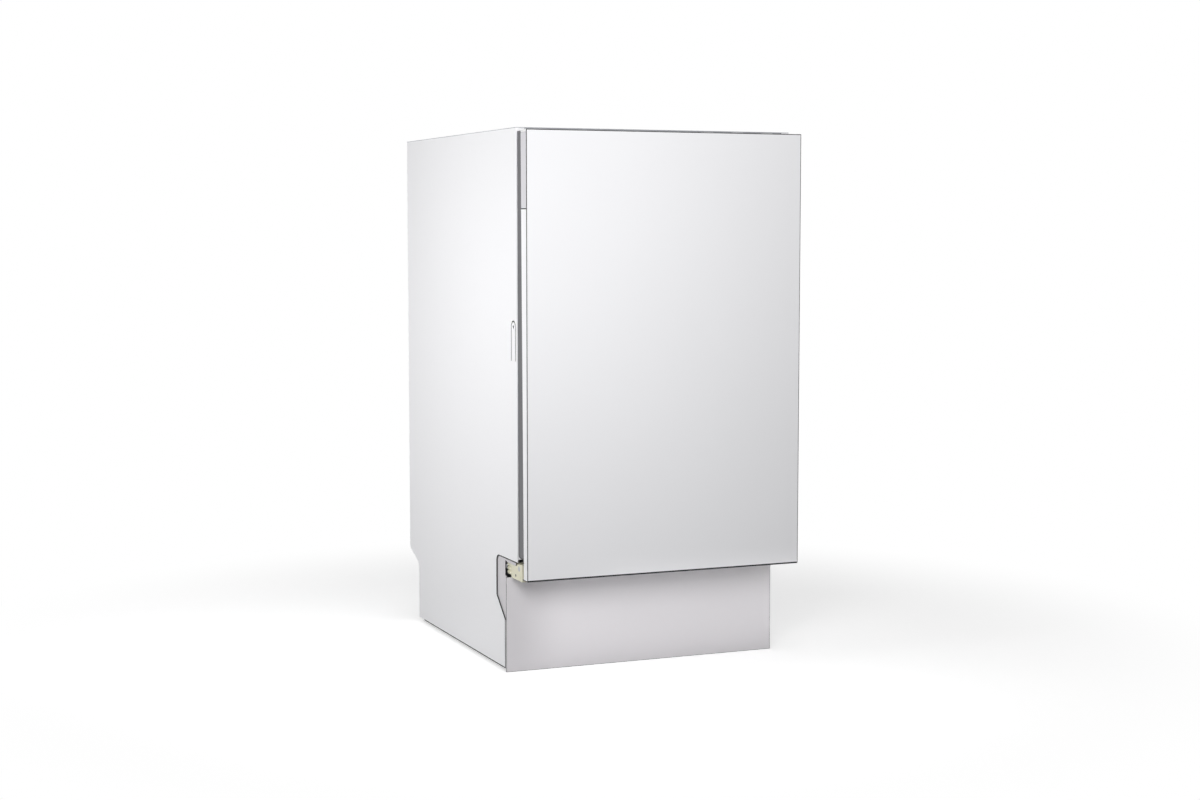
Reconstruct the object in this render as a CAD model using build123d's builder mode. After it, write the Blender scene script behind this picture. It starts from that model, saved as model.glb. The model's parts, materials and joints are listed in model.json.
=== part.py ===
from build123d import *
import os

# A slim built-in dishwasher in millimetres: +Z up, door facing -Y, origin under the middle of its box.

# Overall sizes
WIDTH = 448.0
HEIGHT = 818.0
CABINET_DEPTH = 550.0
DOOR_PROUD = 29.4

# Stock thicknesses and fits
SHEET = 1.0
PLASTIC = 2.5
FIT = 0.3
SHAFT_FIT = 0.08
SCREW_FIT = 0.2

# Planes that everything else is placed from
HALF = WIDTH / 2
INSIDE = HALF - SHEET
ROOF = HEIGHT - SHEET
FRONT = -(CABINET_DEPTH + DOOR_PROUD) / 2
DATUM = FRONT + DOOR_PROUD
BACK = DATUM + CABINET_DEPTH

# Side panels: hinge notch, toe recess, stepped rear foot and lanced tab
PANEL_FRONT = DATUM + 12.0
PANEL_FOOT = 6.0
FLANGE = 12.0
NOTCH_TOP = 175.0
NOTCH_LOW = 113.0
NOTCH_BACK = DATUM + 104.0
NOTCH_RADIUS = 10.0
TOE_FRONT = DATUM + 66.5
TOE_TOP = 80.4
STEP_FRONT = BACK - 50.0
STEP_LOW = 100.0
STEP_TOP = 120.0
STEP_RADIUS = 14.0
STEP_CROWN = 8.0
TAB_WIDTH = 20.0
TAB_TALL = 60.0
TAB_SETBACK = 14.3
TAB_FOOT = 475.0
TAB_SLIT = 2.0
TAB_HOLE_RADIUS = 2.25
TAB_HOLE_DROP = 9.5

# Screws that hold the rear panel
SCREW_RADIUS = 1.5
SCREW_HEAD = 4.0
SCREW_LENGTH = 6.0
SCREW_COLUMN = INSIDE - FLANGE / 2
REAR_LOW = STEP_TOP + STEP_CROWN
SCREW_LEVELS = (REAR_LOW + 25, (REAR_LOW + ROOF) / 2, ROOF - 30)

# Worktop fixing holes in the top
WORKTOP_HOLE_RADIUS = 3.0
WORKTOP_HOLE_X = HALF - 40
WORKTOP_HOLE_Y = PANEL_FRONT + 18
RAIL_DEPTH = 35.0
RAIL_SHEET = 2.0

# Front frame of the tub, whose face leans back towards the top
FRAME_LOW = 180.0
FRAME_TOP = HEIGHT - 6
FRAME_HALF = INSIDE - 0.5
FRAME_CORNER = 8.0
SEAL_LOW_Y = DATUM - 10.0
SEAL_TOP_Y = DATUM - 2.0
DOOR_GAP = 4.0

# Tub
SIDE_SPACE = 23.0
TUB_HALF = INSIDE - SIDE_SPACE
TUB_FLOOR = FRAME_LOW + 12
TUB_ROOF = FRAME_TOP - 24
TUB_BACK = BACK - 50
TUB_CORNER = 20.0
TUB_MIDDLE_Z = (TUB_FLOOR + TUB_ROOF) / 2

# Door hinge axis, along X
HINGE_Y = DATUM + 14
HINGE_Z = NOTCH_TOP - 9
PIN_RADIUS = 4.0

# Base tray, skids and feet
BASE_LOW = 8.0
BASE_TOP = 60.0
BASE_WALL = 3.0
BASE_BACK = STEP_FRONT - 2
BASE_FLOOR = BASE_LOW + BASE_WALL
BULKHEAD_HALF = TUB_HALF - 2
BULKHEAD_TOP = TUB_FLOOR - SHEET - FIT
SKID = 36.0
SKID_INNER = 100.0
SKID_SETBACK = 30.0
FOOT_STEM = 6.0
FOOT_PAD_RADIUS = 20.0
FOOT_PAD = 7.0
FOOT_SPARE = 8.0
FOOT_BOSS = FOOT_STEM + 6
FOOT_SPOTS = {
    "front_foot_left": (-(HALF - 38), TOE_FRONT + 34),
    "front_foot_right": (HALF - 38, TOE_FRONT + 34),
    "rear_foot": (0.0, BASE_BACK - 34),
}

# Kick plate
KICK_FRONT = TOE_FRONT - 4.5
KICK_TOP = 146.0

# Door seal and latch striker on the frame
SEAL_INNER = TUB_HALF + 2
SEAL_OUTER = TUB_HALF + 12
SEAL_THICK = DOOR_GAP - SHEET - 0.4
SEAL_FOOT = FRAME_LOW + 20
SEAL_TOP_WIDE = 7.0
SEAL_TOP = TUB_ROOF + 1 + SEAL_TOP_WIDE
STRIKER_SPAN = (SEAL_TOP + 3, SEAL_TOP + 10)
STRIKER_HALF = 12.0
STRIKER_WINDOW = 7.0
STRIKER_REACH = 17.0
STRIKER_BAR = 3.0

# Hinge hardware, mirrored on both sides
NOSE = 11.0
ARM_X = TUB_HALF
ARM_SHEET = 4.0
BRACKET_X = TUB_HALF + 8
BRACKET_SHEET = 2.0
BRACKET_FRONT = TOE_FRONT + BASE_WALL + 6
BRACKET_BACK = BRACKET_FRONT + 150
BEARING_WIDE = 11.0
BEARING_STEP = 3.0
BEARING_FRONT = DATUM
BEARING_MIDDLE = DATUM + 47
BEARING_BACK = DATUM + 69
BEARING_TOP = HINGE_Z + 7
BEARING_LOW = HINGE_Z - 18
BEARING_HOLE_RADIUS = 1.5
BEARING_HOLES = [(HINGE_Y + 14, HINGE_Z - 12), (HINGE_Y - 8, HINGE_Z - 12)]
EAR_LAP = 4.0
EAR_WINDOW = 0.5
EAR_WINDOW_Z = (BEARING_LOW - EAR_WINDOW, BEARING_TOP - BEARING_STEP + EAR_WINDOW)
SPRING_RADIUS = 5.0
SPRING_X = BRACKET_X + BRACKET_SHEET + SPRING_RADIUS + 0.5
SPRING_Z = HINGE_Z - 5

# Spray arm post, filter well and salt neck in the tub floor
ARM_Y = (DATUM + TUB_BACK) / 2
SHOULDER_RADIUS = 16.0
POST_RADIUS = 9.0
POST_SHOULDER = 16.0
POST_TOP = 34.0
FILTER_X = 85.0
FILTER_Y = ARM_Y - 70
WELL_RADIUS = 50.0
WELL_FLANGE = 8.0
WELL_LOW = 78.0
DUCT_HALF = 18.0
DUCT_LOW = 140.0
DUCT_TOP = TUB_FLOOR - SHEET - 5
NECK_X = -140.0
NECK_Y = ARM_Y - 65
NECK_RADIUS = 24.0
NECK_BORE = 18.0
NECK_PROUD = 3.0

# Pumps
SUCTION_Z = WELL_LOW + 18
SUCTION_RADIUS = 14.0
PUMP_FRONT = FILTER_Y + WELL_RADIUS + 8
PUMP_Z = BASE_FLOOR + 51
VOLUTE_LONG = 30.0
VOLUTE_RADIUS = 48.0
PUMP_LONG = 120.0
MOTOR_RADIUS = 38.0
OUTLET_RADIUS = 10.0
DRAIN_RADIUS = 11.0
DRAIN_FACE = FILTER_X - WELL_RADIUS - 12
DRAIN_PUMP_LONG = 60.0
DRAIN_PUMP_RADIUS = 26.0

# Water softener and caps
SOFTENER_OUTER = BRACKET_X - 4
SOFTENER_INNER = 95.0
SOFTENER_AHEAD = 55.0
SOFTENER_BEHIND = 95.0
CAP_RADIUS = 29.0
CAP_THICK = 5.0
CAP_PLUG = 2.5
GRIP_TALL = 3.0
GRIP_HALF = 3.0

# Filter
FILTER_RADIUS = 40.0
FILTER_LIFT = 6.0
FILTER_MOUTH = 28.0
COLLAR_LIP = 4.0
COLLAR_THICK = 3.0
PLATE_HALF_X = 64.0
PLATE_HALF_Y = 60.0
PLATE_CORNER = 30.0
PLATE_THICK = 1.5
PLATE_HOLE_RING = 51.0
PLATE_HOLE_COUNT = 36
PLATE_HOLE_RADIUS = 2.0

# Water jacket and feed pipe
JACKET_CLEAR = 2.0
JACKET_AHEAD = 130.0
JACKET_BEHIND = 170.0
JACKET_LOW = 260.0
JACKET_TOP = 700.0
PIPE_HALF = 12.0
PIPE_DEEP = 12.0
SPRINKLER_RADIUS = 28.0
DOCK_RADIUS = 10.0

# Upper rack rails
RAIL_Z = 540.0
RAIL_WIDE = 16.0
RAIL_TALL = 20.0
RAIL_WALL = 2.0
RAIL_MOUTH = 10.0
RAIL_FRONT = DATUM + 45
RAIL_BACK = TUB_BACK - 20
UPPER_ARM_Z = RAIL_Z - 74

# Connections at the rear of the base
PORT_Z = (BASE_LOW + BASE_TOP) / 2
PORT_HALF = 21.0
PORT_PLATE = 4.0
INLET_X = -150.0
INLET_RADIUS = 13.2
INLET_BORE = 8.0
INLET_LONG = 16.0
DRAIN_X = -75.0
SPIGOT_RADIUS = 9.5
SPIGOT_BORE = 7.0
OUTLET_LONG = 32.0
MAINS_X = 150.0
MAINS_DEEP = 24.0
MAINS_BORE = 5.0

# Door: front sheet, control housing, liner with its raised pan, hinge arms
DOOR_LOW = 154.0
DOOR_TOP = HEIGHT - 4.4
FACE_BACK = FRONT + SHEET
FASCIA_THICK = 4.0
FASCIA_LOW = DOOR_TOP - FASCIA_THICK
HOUSING_LOW = DOOR_TOP - 114
HOUSING_JOINT = 1.0
RETURN_TOP = HOUSING_LOW - HOUSING_JOINT
LINER_HALF = SEAL_OUTER
LINER_LOW = FRAME_LOW
LINER_TOP = SEAL_TOP + 1
TONGUE_HALF = ARM_X - 5
TONGUE_LOW = DOOR_LOW + 6
PAN_HALF = TUB_HALF - 15
PAN_LOW = TUB_FLOOR + 23
PAN_TOP = TUB_ROOF - 13
PAN_RISE = 25.0
PAN_FACE = PAN_RISE - DOOR_GAP
ARM_LIMB = 10.0
ARM_NECK = 9.0
ARM_TOP = HINGE_Z + 234
BOTTOM_SEAL = (HINGE_Z, FRAME_LOW - 2)
BOTTOM_SEAL_THICK = 5.0
LATCH_HALF = 30.0
LATCH_DEEP = 15.0
LATCH_TALL = 30.0
LATCH_SLOT = 2.0

# Buttons on the fascia and the board under them
BUTTON_SPOTS = {"power_button": 70.0, "program_button": 120.0, "start_button": 170.0}
BUTTON_Y = FACE_BACK + 11
BUTTON_HALF_X = 9.0
BUTTON_HALF_Y = 5.0
BUTTON_PROUD = 0.8
BUTTON_FLANGE = 2.0
BOARD_LOW = FASCIA_LOW - 14
BOARD_THICK = 1.6
BOARD_LEDGE = 8.0
BOARD_SPARE = 25.0
BOARD_X = (min(BUTTON_SPOTS.values()) - BOARD_SPARE, max(BUTTON_SPOTS.values()) + BOARD_SPARE)
SWITCH_TALL = 3.0
SWITCH_RADIUS = 3.0

# Detergent dispenser in the liner's pan
DISPENSER_X = (-75.0, 85.0)
DISPENSER_Z = (420.0, 590.0)
DISPENSER_DEEP = 27.0
DISPENSER_PROUD = 3.0
CUP_X = (DISPENSER_X[0] + 13, DISPENSER_X[0] + 68)
CUP_Z = (DISPENSER_Z[0] + 15, DISPENSER_Z[0] + 75)
CUP_DEEP = 22.0
LID_LAP = 4.0
LID_THICK = 3.0
RINSE_X = DISPENSER_X[1] - 35
RINSE_Z = DISPENSER_Z[1] - 80
RINSE_RADIUS = 20.0
RINSE_DEEP = 14.0
RINSE_LIFT = 0.7
RINSE_THICK = 4.0

# Lower spray arm on its post and upper arm under the upper rack, short enough to turn between the wheels
ARM_SPAN = TUB_HALF - 37
ARM_WIDE = 34.0
ARM_THICK = 12.0
HUB_RADIUS = 18.0
HUB_TALL = POST_TOP - POST_SHOULDER - FIT
NOZZLE_RADIUS = 1.8
NOZZLE_DEEP = 3.0
NOZZLE_STEP = 32.0
NOZZLE_COUNT = 4

# Racks of welded wire
WIRE = 2.0
TINE = 1.6
WELD = 1.5 * WIRE
RACK_FRONT = DATUM + 50
RACK_BACK = TUB_BACK - 42
WIRE_PITCH_Y = 42.0
LONG_WIRES = 11
LOWER_HALF = TUB_HALF - 15
LOWER_FLOOR = TUB_FLOOR + 44
LOWER_RIM = LOWER_FLOOR + 110
TINE_TALL = 64.0
UPPER_HALF = TUB_HALF - RAIL_WIDE - 6
UPPER_FLOOR = RAIL_Z - 40
UPPER_RIM = RAIL_Z + 60
CARRIER_HALF = 20.0
UPPER_HUB_LOW = UPPER_ARM_Z - ARM_THICK
LIP_THICK = 3.0

# Lower rack wheels
WHEEL_RADIUS = 15.0
WHEEL_WIDE = 8.0
AXLE_RADIUS = 3.0
AXLE_Z = TUB_FLOOR + WHEEL_RADIUS + FIT
WHEEL_X = TUB_HALF - TUB_CORNER - WHEEL_WIDE - 1
WHEEL_PLATE = 3.0
WHEEL_SETBACK = 45.0
WHEEL_SPOTS = {
    "rack_wheel_front_left": (-1, RACK_FRONT + WHEEL_SETBACK),
    "rack_wheel_front_right": (1, RACK_FRONT + WHEEL_SETBACK),
    "rack_wheel_rear_left": (-1, RACK_BACK - WHEEL_SETBACK),
    "rack_wheel_rear_right": (1, RACK_BACK - WHEEL_SETBACK),
}

# Cup shelf in the upper rack, cutlery basket in the lower one
SHELF_X = UPPER_HALF - 11
SHELF_Z = RAIL_Z + 45
SHELF_WIDE = 86.0
SHELF_LONG = 300.0
SHELF_THICK = 3.0
SHELF_PIVOT = 2.5
SHELF_SLOTS = 9
SHELF_SLOT_WIDE = 20.0
LUG_THICK = 6.0
SHELF_ENDS = (ARM_Y - SHELF_LONG / 2, ARM_Y + SHELF_LONG / 2)
BASKET_X = (105.0, 175.0)
BASKET_Y = (RACK_FRONT + 12, RACK_FRONT + 182)
BASKET_TALL = 88.0
BASKET_WALL = 2.0
BASKET_CELLS = 4
BASKET_HANDLE = 35.0

TURN = {"x": (0, 90, 0), "y": (90, 0, 0), "z": (0, 0, 0)}
SIDES = {"left": -1, "right": 1}


def block(x, y, z, mode=Mode.ADD):
    """Add or cut a box given by its low and high limits along X, Y and Z."""
    with Locations(((x[0] + x[1]) / 2, (y[0] + y[1]) / 2, (z[0] + z[1]) / 2)):
        Box(x[1] - x[0], y[1] - y[0], z[1] - z[0], mode=mode)


def rods(axis, span, spots, radius, mode=Mode.ADD):
    """Add or cut round bars along one axis, at the listed places across it."""
    middle = (span[0] + span[1]) / 2
    order = {"x": (2, 0, 1), "y": (0, 2, 1), "z": (0, 1, 2)}[axis]
    places = [tuple((spot[0], spot[1], middle)[i] for i in order) for spot in spots]
    with Locations(*places):
        Cylinder(radius, span[1] - span[0], rotation=TURN[axis], mode=mode)


def prism(x, outline, mode=Mode.ADD):
    """Add or cut a bar along X whose section is a list of (y, z) points."""
    with BuildSketch(Plane.YZ.offset(x[0])) as section:
        with BuildLine():
            Polyline(*outline, close=True)
        make_face()
    extrude(section.sketch, amount=x[1] - x[0], mode=mode)


def seal_line(z):
    """Y of the leaning face of the tub's front frame at height z."""
    return SEAL_LOW_Y + (SEAL_TOP_Y - SEAL_LOW_Y) * (z - FRAME_LOW) / (FRAME_TOP - FRAME_LOW)


def slab(x, z, near, far, mode=Mode.ADD):
    """Add or cut a plate parallel to the leaning frame face, between two offsets from it."""
    outline = [(seal_line(level) + offset, level) for level, offset in
               ((z[0], near), (z[0], far), (z[1], far), (z[1], near))]
    prism(x, outline, mode)


def across(half):
    """Limits of a piece that is centred across the width."""
    return (-half, half)


def across_at(middle, half):
    """Limits of a piece that is centred on a given place."""
    return (middle - half, middle + half)


def sideways(side, inner, outer):
    """Limits along X between two distances from the middle, on one side."""
    return tuple(sorted((side * inner, side * outer)))


def door_web(x, low, top, setback=0.0, mode=Mode.ADD):
    """Add or cut a bar along X that fills the door's depth between two heights."""
    depth = -DOOR_GAP - setback
    outline = [
        (FACE_BACK, low),
        (seal_line(low) + depth, low),
        (seal_line(top) + depth, top),
        (FACE_BACK, top),
    ]
    prism(x, outline, mode)


def clear_of_basket(x, y):
    """Whether a tine at this place stays out of the cutlery basket."""
    room = 2 * WIRE
    return x < BASKET_X[0] - room or y > BASKET_Y[1] + room


def port_plate(x, thick):
    """Add the square mounting plate of a connection on the back of the base tray."""
    block(across_at(x, PORT_HALF), (BASE_BACK, BASE_BACK + thick), across_at(PORT_Z, PORT_HALF))


def spigot(x, long, radius, bore):
    """Add a round tube standing out of a port plate, bored right through both."""
    end = BASE_BACK + PORT_PLATE + long
    rods("y", (BASE_BACK + PORT_PLATE, end), [(x, PORT_Z)], radius)
    rods("y", (BASE_BACK, end), [(x, PORT_Z)], bore, Mode.SUBTRACT)


def save(piece, name):
    """Label a finished piece and write it."""
    piece.part.label = name
    export_step(piece.part, f"parts/{name}.step")


os.makedirs("parts", exist_ok=True)


# Side panels: folded sheet with flanges along the top, front and rear
def side_panel(side):
    tab_y = PANEL_FRONT + TAB_SETBACK
    tab_radius = TAB_WIDTH / 2
    tab_shoulder = TAB_FOOT + TAB_TALL - tab_radius
    with BuildPart() as panel:
        with BuildSketch(Plane.YZ.offset(side * INSIDE)) as outline:
            with BuildLine():
                Polyline(
                    (PANEL_FRONT, NOTCH_TOP),
                    (PANEL_FRONT, ROOF),
                    (BACK, ROOF),
                    (BACK, STEP_TOP),
                    (STEP_FRONT, STEP_LOW),
                    (STEP_FRONT, PANEL_FOOT),
                    (TOE_FRONT, PANEL_FOOT),
                    (TOE_FRONT, TOE_TOP),
                    (NOTCH_BACK, NOTCH_LOW),
                    (NOTCH_BACK, NOTCH_TOP),
                    close=True,
                )
            make_face()
            corner = outline.vertices().sort_by_distance((NOTCH_BACK, NOTCH_TOP, 0))[0]
            fillet(corner, NOTCH_RADIUS)
            step = outline.vertices().sort_by_distance((STEP_FRONT, STEP_LOW, 0))[0]
            fillet(step, STEP_RADIUS)
            crown = outline.vertices().sort_by_distance((BACK, STEP_TOP, 0))[0]
            fillet(crown, STEP_CROWN)
            for radius, mode in ((tab_radius, Mode.SUBTRACT), (tab_radius - TAB_SLIT, Mode.ADD)):
                with Locations((tab_y, (TAB_FOOT + tab_shoulder) / 2)):
                    Rectangle(2 * radius, tab_shoulder - TAB_FOOT, mode=mode)
                with Locations((tab_y, tab_shoulder)):
                    Circle(radius, mode=mode)
            with Locations((tab_y, TAB_FOOT + TAB_TALL - TAB_HOLE_DROP)):
                Circle(TAB_HOLE_RADIUS, mode=Mode.SUBTRACT)
        extrude(amount=side * SHEET)
        inward = sideways(side, INSIDE - FLANGE, INSIDE)
        block(inward, (PANEL_FRONT, BACK), (ROOF - SHEET, ROOF))
        block(inward, (PANEL_FRONT, PANEL_FRONT + SHEET), (FRAME_LOW, ROOF))
        block(inward, (BACK - 3 * SHEET, BACK - 2 * SHEET), (REAR_LOW, ROOF))
        holes = [(side * SCREW_COLUMN, level) for level in SCREW_LEVELS]
        rods("y", (BACK - 4 * SHEET, BACK), holes, SCREW_RADIUS + SCREW_FIT, Mode.SUBTRACT)
    return panel


for word, side in SIDES.items():
    save(side_panel(side), f"side_panel_{word}")

# Rear panel and its screws
screw_spots = [(side * SCREW_COLUMN, level) for side in SIDES.values() for level in SCREW_LEVELS]

with BuildPart() as rear_panel:
    block(across(INSIDE), (BACK - 2 * SHEET, BACK - SHEET), (REAR_LOW, ROOF - SHEET))
    rods("y", (BACK - 3 * SHEET, BACK), screw_spots, SCREW_RADIUS + SCREW_FIT, Mode.SUBTRACT)
save(rear_panel, "rear_panel")

with BuildPart() as cabinet_screws:
    rods("y", (BACK - SHEET, BACK), screw_spots, SCREW_HEAD)
    rods("y", (BACK - SCREW_LENGTH, BACK - SHEET), screw_spots, SCREW_RADIUS)
save(cabinet_screws, "cabinet_screws")

# Top cover and the rail under its front edge, with the worktop fixing holes
worktop_spots = [(side * WORKTOP_HOLE_X, WORKTOP_HOLE_Y) for side in SIDES.values()]

with BuildPart() as top_cover:
    block(across(HALF), (PANEL_FRONT, BACK), (ROOF, HEIGHT))
    rods("z", (ROOF, HEIGHT), worktop_spots, WORKTOP_HOLE_RADIUS, Mode.SUBTRACT)
save(top_cover, "top_cover")

with BuildPart() as front_top_rail:
    rail_front = PANEL_FRONT + SHEET
    block(across(INSIDE - FLANGE), (rail_front, rail_front + RAIL_DEPTH), (ROOF - RAIL_SHEET, ROOF))
    block(across(INSIDE - FLANGE), (rail_front, rail_front + RAIL_SHEET), (FRAME_TOP - 8, ROOF))
    rods("z", (ROOF - RAIL_SHEET, ROOF), worktop_spots, WORKTOP_HOLE_RADIUS, Mode.SUBTRACT)
save(front_top_rail, "front_top_rail")

# Front frame: a shallow folded pan with the loading opening cut through its leaning face
def frame_blank(inset):
    low = FRAME_LOW + inset
    top = FRAME_TOP - inset
    with BuildPart() as blank:
        prism(across(FRAME_HALF - inset), [
            (PANEL_FRONT, low),
            (PANEL_FRONT, top),
            (seal_line(top) + inset, top),
            (seal_line(low) + inset, low),
        ])
        fillet(blank.edges().filter_by(Axis.Y).group_by(Axis.Z)[0], FRAME_CORNER - inset)
    return blank.part


with BuildPart() as tub_front_frame:
    add(frame_blank(0))
    add(frame_blank(SHEET), mode=Mode.SUBTRACT)
    with BuildSketch(Plane.XZ.offset(-PANEL_FRONT)):
        with Locations((0, TUB_MIDDLE_Z)):
            RectangleRounded(2 * TUB_HALF, TUB_ROOF - TUB_FLOOR, TUB_CORNER)
    extrude(amount=PANEL_FRONT - FRONT, mode=Mode.SUBTRACT)
save(tub_front_frame, "tub_front_frame")

# Door seal: a soft strip up both sides of the opening and across its top
with BuildPart() as door_seal:
    for side in SIDES.values():
        slab(sideways(side, SEAL_INNER, SEAL_OUTER), (SEAL_FOOT, SEAL_TOP), -SEAL_THICK, 0)
    slab(across(SEAL_OUTER), (SEAL_TOP - SEAL_TOP_WIDE, SEAL_TOP), -SEAL_THICK, 0)
save(door_seal, "door_seal")

# Latch striker on the frame's top strip
with BuildPart() as latch_striker:
    slab(across(STRIKER_HALF), STRIKER_SPAN, -STRIKER_REACH, 0)
    window = (-STRIKER_REACH + STRIKER_BAR, -DOOR_GAP - PLASTIC)
    slab(across(STRIKER_WINDOW), STRIKER_SPAN, *window, Mode.SUBTRACT)
save(latch_striker, "latch_striker")

# Tub: a rounded steel box whose front edge leans with the frame
with BuildPart() as tub:
    for back, wall, mode in ((TUB_BACK + SHEET, SHEET, Mode.ADD), (TUB_BACK, 0, Mode.SUBTRACT)):
        with BuildSketch(Plane.XZ.offset(-back)):
            with Locations((0, TUB_MIDDLE_Z)):
                RectangleRounded(
                    2 * (TUB_HALF + wall), TUB_ROOF - TUB_FLOOR + 2 * wall, TUB_CORNER + wall
                )
        extrude(amount=back - FRONT, mode=mode)
    slab(across(HALF), (0, 2 * HEIGHT), FRONT - DATUM, SHEET, Mode.SUBTRACT)
    floor = (TUB_FLOOR - SHEET, TUB_FLOOR)
    rods("z", floor, [(FILTER_X, FILTER_Y)], WELL_RADIUS + FIT, Mode.SUBTRACT)
    rods("z", floor, [(0, ARM_Y)], SHOULDER_RADIUS + FIT, Mode.SUBTRACT)
    rods("z", floor, [(NECK_X, NECK_Y)], NECK_RADIUS + FIT, Mode.SUBTRACT)
save(tub, "tub")

# Base tray with skids, the bosses that guide the feet and a bulkhead up to the tub behind the kick plate
foot_spots = list(FOOT_SPOTS.values())

with BuildPart() as base_tray:
    block(across(INSIDE), (TOE_FRONT, BASE_BACK), (BASE_LOW, BASE_TOP))
    block(
        across(INSIDE - BASE_WALL), (TOE_FRONT + BASE_WALL, BASE_BACK - BASE_WALL),
        (BASE_FLOOR, BASE_TOP), Mode.SUBTRACT,
    )
    block(across(BULKHEAD_HALF), (TOE_FRONT, TOE_FRONT + BASE_WALL), (BASE_FLOOR, BULKHEAD_TOP))
    rods("z", (BASE_FLOOR, BASE_TOP), foot_spots, FOOT_BOSS)
    rods("z", (BASE_LOW, BASE_TOP), foot_spots, FOOT_STEM + SHAFT_FIT, Mode.SUBTRACT)
    for side in SIDES.values():
        skid = sideways(side, SKID_INNER, SKID_INNER + SKID)
        for middle in (TOE_FRONT + SKID_SETBACK, BASE_BACK - SKID_SETBACK):
            block(skid, (middle - SKID / 2, middle + SKID / 2), (0, BASE_LOW))
save(base_tray, "base_tray")

for name, spot in FOOT_SPOTS.items():
    with BuildPart() as foot:
        rods("z", (0, FOOT_PAD), [spot], FOOT_PAD_RADIUS)
        rods("z", (FOOT_PAD, BASE_TOP + FOOT_SPARE), [spot], FOOT_STEM)
    save(foot, name)

# Kick plate: sheet folded back at its ends and top, with windowed ears behind the side panels' notches
with BuildPart() as kick_plate:
    block(across(HALF), (KICK_FRONT, KICK_FRONT + SHEET), (0, KICK_TOP))
    block(across(HALF), (KICK_FRONT, TOE_FRONT), (KICK_TOP - SHEET, KICK_TOP))
    for side in SIDES.values():
        block(sideways(side, INSIDE - SHEET, HALF), (KICK_FRONT, TOE_FRONT), (0, TOE_TOP))
        ear = sideways(side, INSIDE - FIT - SHEET, INSIDE - FIT)
        block(ear, (KICK_FRONT, NOTCH_BACK + EAR_LAP), (BASE_TOP + EAR_LAP, NOTCH_TOP + EAR_LAP))
        block(ear, (KICK_FRONT, BEARING_BACK + EAR_WINDOW), EAR_WINDOW_Z, Mode.SUBTRACT)
save(kick_plate, "kick_plate")


# Hinge brackets with their pins, the plastic bearings outside them and the door springs behind
def hinge_bracket(side):
    with BuildPart() as bracket:
        prism(sideways(side, BRACKET_X, BRACKET_X + BRACKET_SHEET), [
            (HINGE_Y - NOSE, HINGE_Z + NOSE),
            (HINGE_Y - NOSE, HINGE_Z - NOSE),
            (BRACKET_FRONT, HINGE_Z - NOSE),
            (BRACKET_FRONT, BASE_FLOOR),
            (BRACKET_BACK, BASE_FLOOR),
            (BRACKET_BACK, HINGE_Z + NOSE),
        ])
        pin = sideways(side, ARM_X - SHEET, BRACKET_X + BRACKET_SHEET + BEARING_WIDE)
        rods("x", pin, [(HINGE_Y, HINGE_Z)], PIN_RADIUS)
        hook = sideways(side, BRACKET_X + BRACKET_SHEET, SPRING_X + SPRING_RADIUS)
        block(hook, (BRACKET_BACK - BRACKET_SHEET, BRACKET_BACK), across_at(SPRING_Z, SPRING_RADIUS))
    return bracket


def hinge_bearing(side):
    face = BRACKET_X + BRACKET_SHEET
    wide = sideways(side, face, face + BEARING_WIDE)
    narrow = sideways(side, face, face + BEARING_WIDE - BEARING_STEP)
    with BuildPart() as bearing:
        block(wide, (BEARING_FRONT, BEARING_MIDDLE), (BEARING_LOW, BEARING_TOP))
        block(
            narrow, (BEARING_MIDDLE, BEARING_BACK),
            (BEARING_LOW + BEARING_STEP, BEARING_TOP - BEARING_STEP),
        )
        rods("x", wide, [(HINGE_Y, HINGE_Z)], PIN_RADIUS + SHAFT_FIT, Mode.SUBTRACT)
        rods("x", wide, BEARING_HOLES, BEARING_HOLE_RADIUS, Mode.SUBTRACT)
    return bearing


def door_spring(side):
    with BuildPart() as spring:
        rods("y", (BEARING_BACK, BRACKET_BACK - BRACKET_SHEET), [(side * SPRING_X, SPRING_Z)], SPRING_RADIUS)
    return spring


for word, side in SIDES.items():
    save(hinge_bracket(side), f"hinge_bracket_{word}")
    save(hinge_bearing(side), f"hinge_bearing_{word}")
    save(door_spring(side), f"door_spring_{word}")

# Sump: filter well, duct to the spray arm post, and the pump spigots
with BuildPart() as sump:
    rods("z", (WELL_LOW, TUB_FLOOR), [(FILTER_X, FILTER_Y)], WELL_RADIUS)
    rods("z", (DUCT_TOP, TUB_FLOOR - SHEET), [(FILTER_X, FILTER_Y)], WELL_RADIUS + WELL_FLANGE)
    block((-DUCT_HALF, FILTER_X + DUCT_HALF), across_at(ARM_Y, DUCT_HALF), (DUCT_LOW, DUCT_TOP))
    block(across_at(FILTER_X, DUCT_HALF), (FILTER_Y, ARM_Y + DUCT_HALF), (DUCT_LOW, DUCT_TOP))
    rods("z", (DUCT_LOW, TUB_FLOOR + POST_SHOULDER), [(0, ARM_Y)], SHOULDER_RADIUS)
    rods("z", (DUCT_LOW, TUB_FLOOR + POST_TOP), [(0, ARM_Y)], POST_RADIUS)
    rods("y", (FILTER_Y, PUMP_FRONT), [(FILTER_X, SUCTION_Z)], SUCTION_RADIUS)
    rods("x", (DRAIN_FACE, FILTER_X), [(FILTER_Y, SUCTION_Z)], DRAIN_RADIUS)
    rods("z", (WELL_LOW + PLASTIC, TUB_FLOOR), [(FILTER_X, FILTER_Y)], WELL_RADIUS - PLASTIC, Mode.SUBTRACT)
save(sump, "sump")

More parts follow.
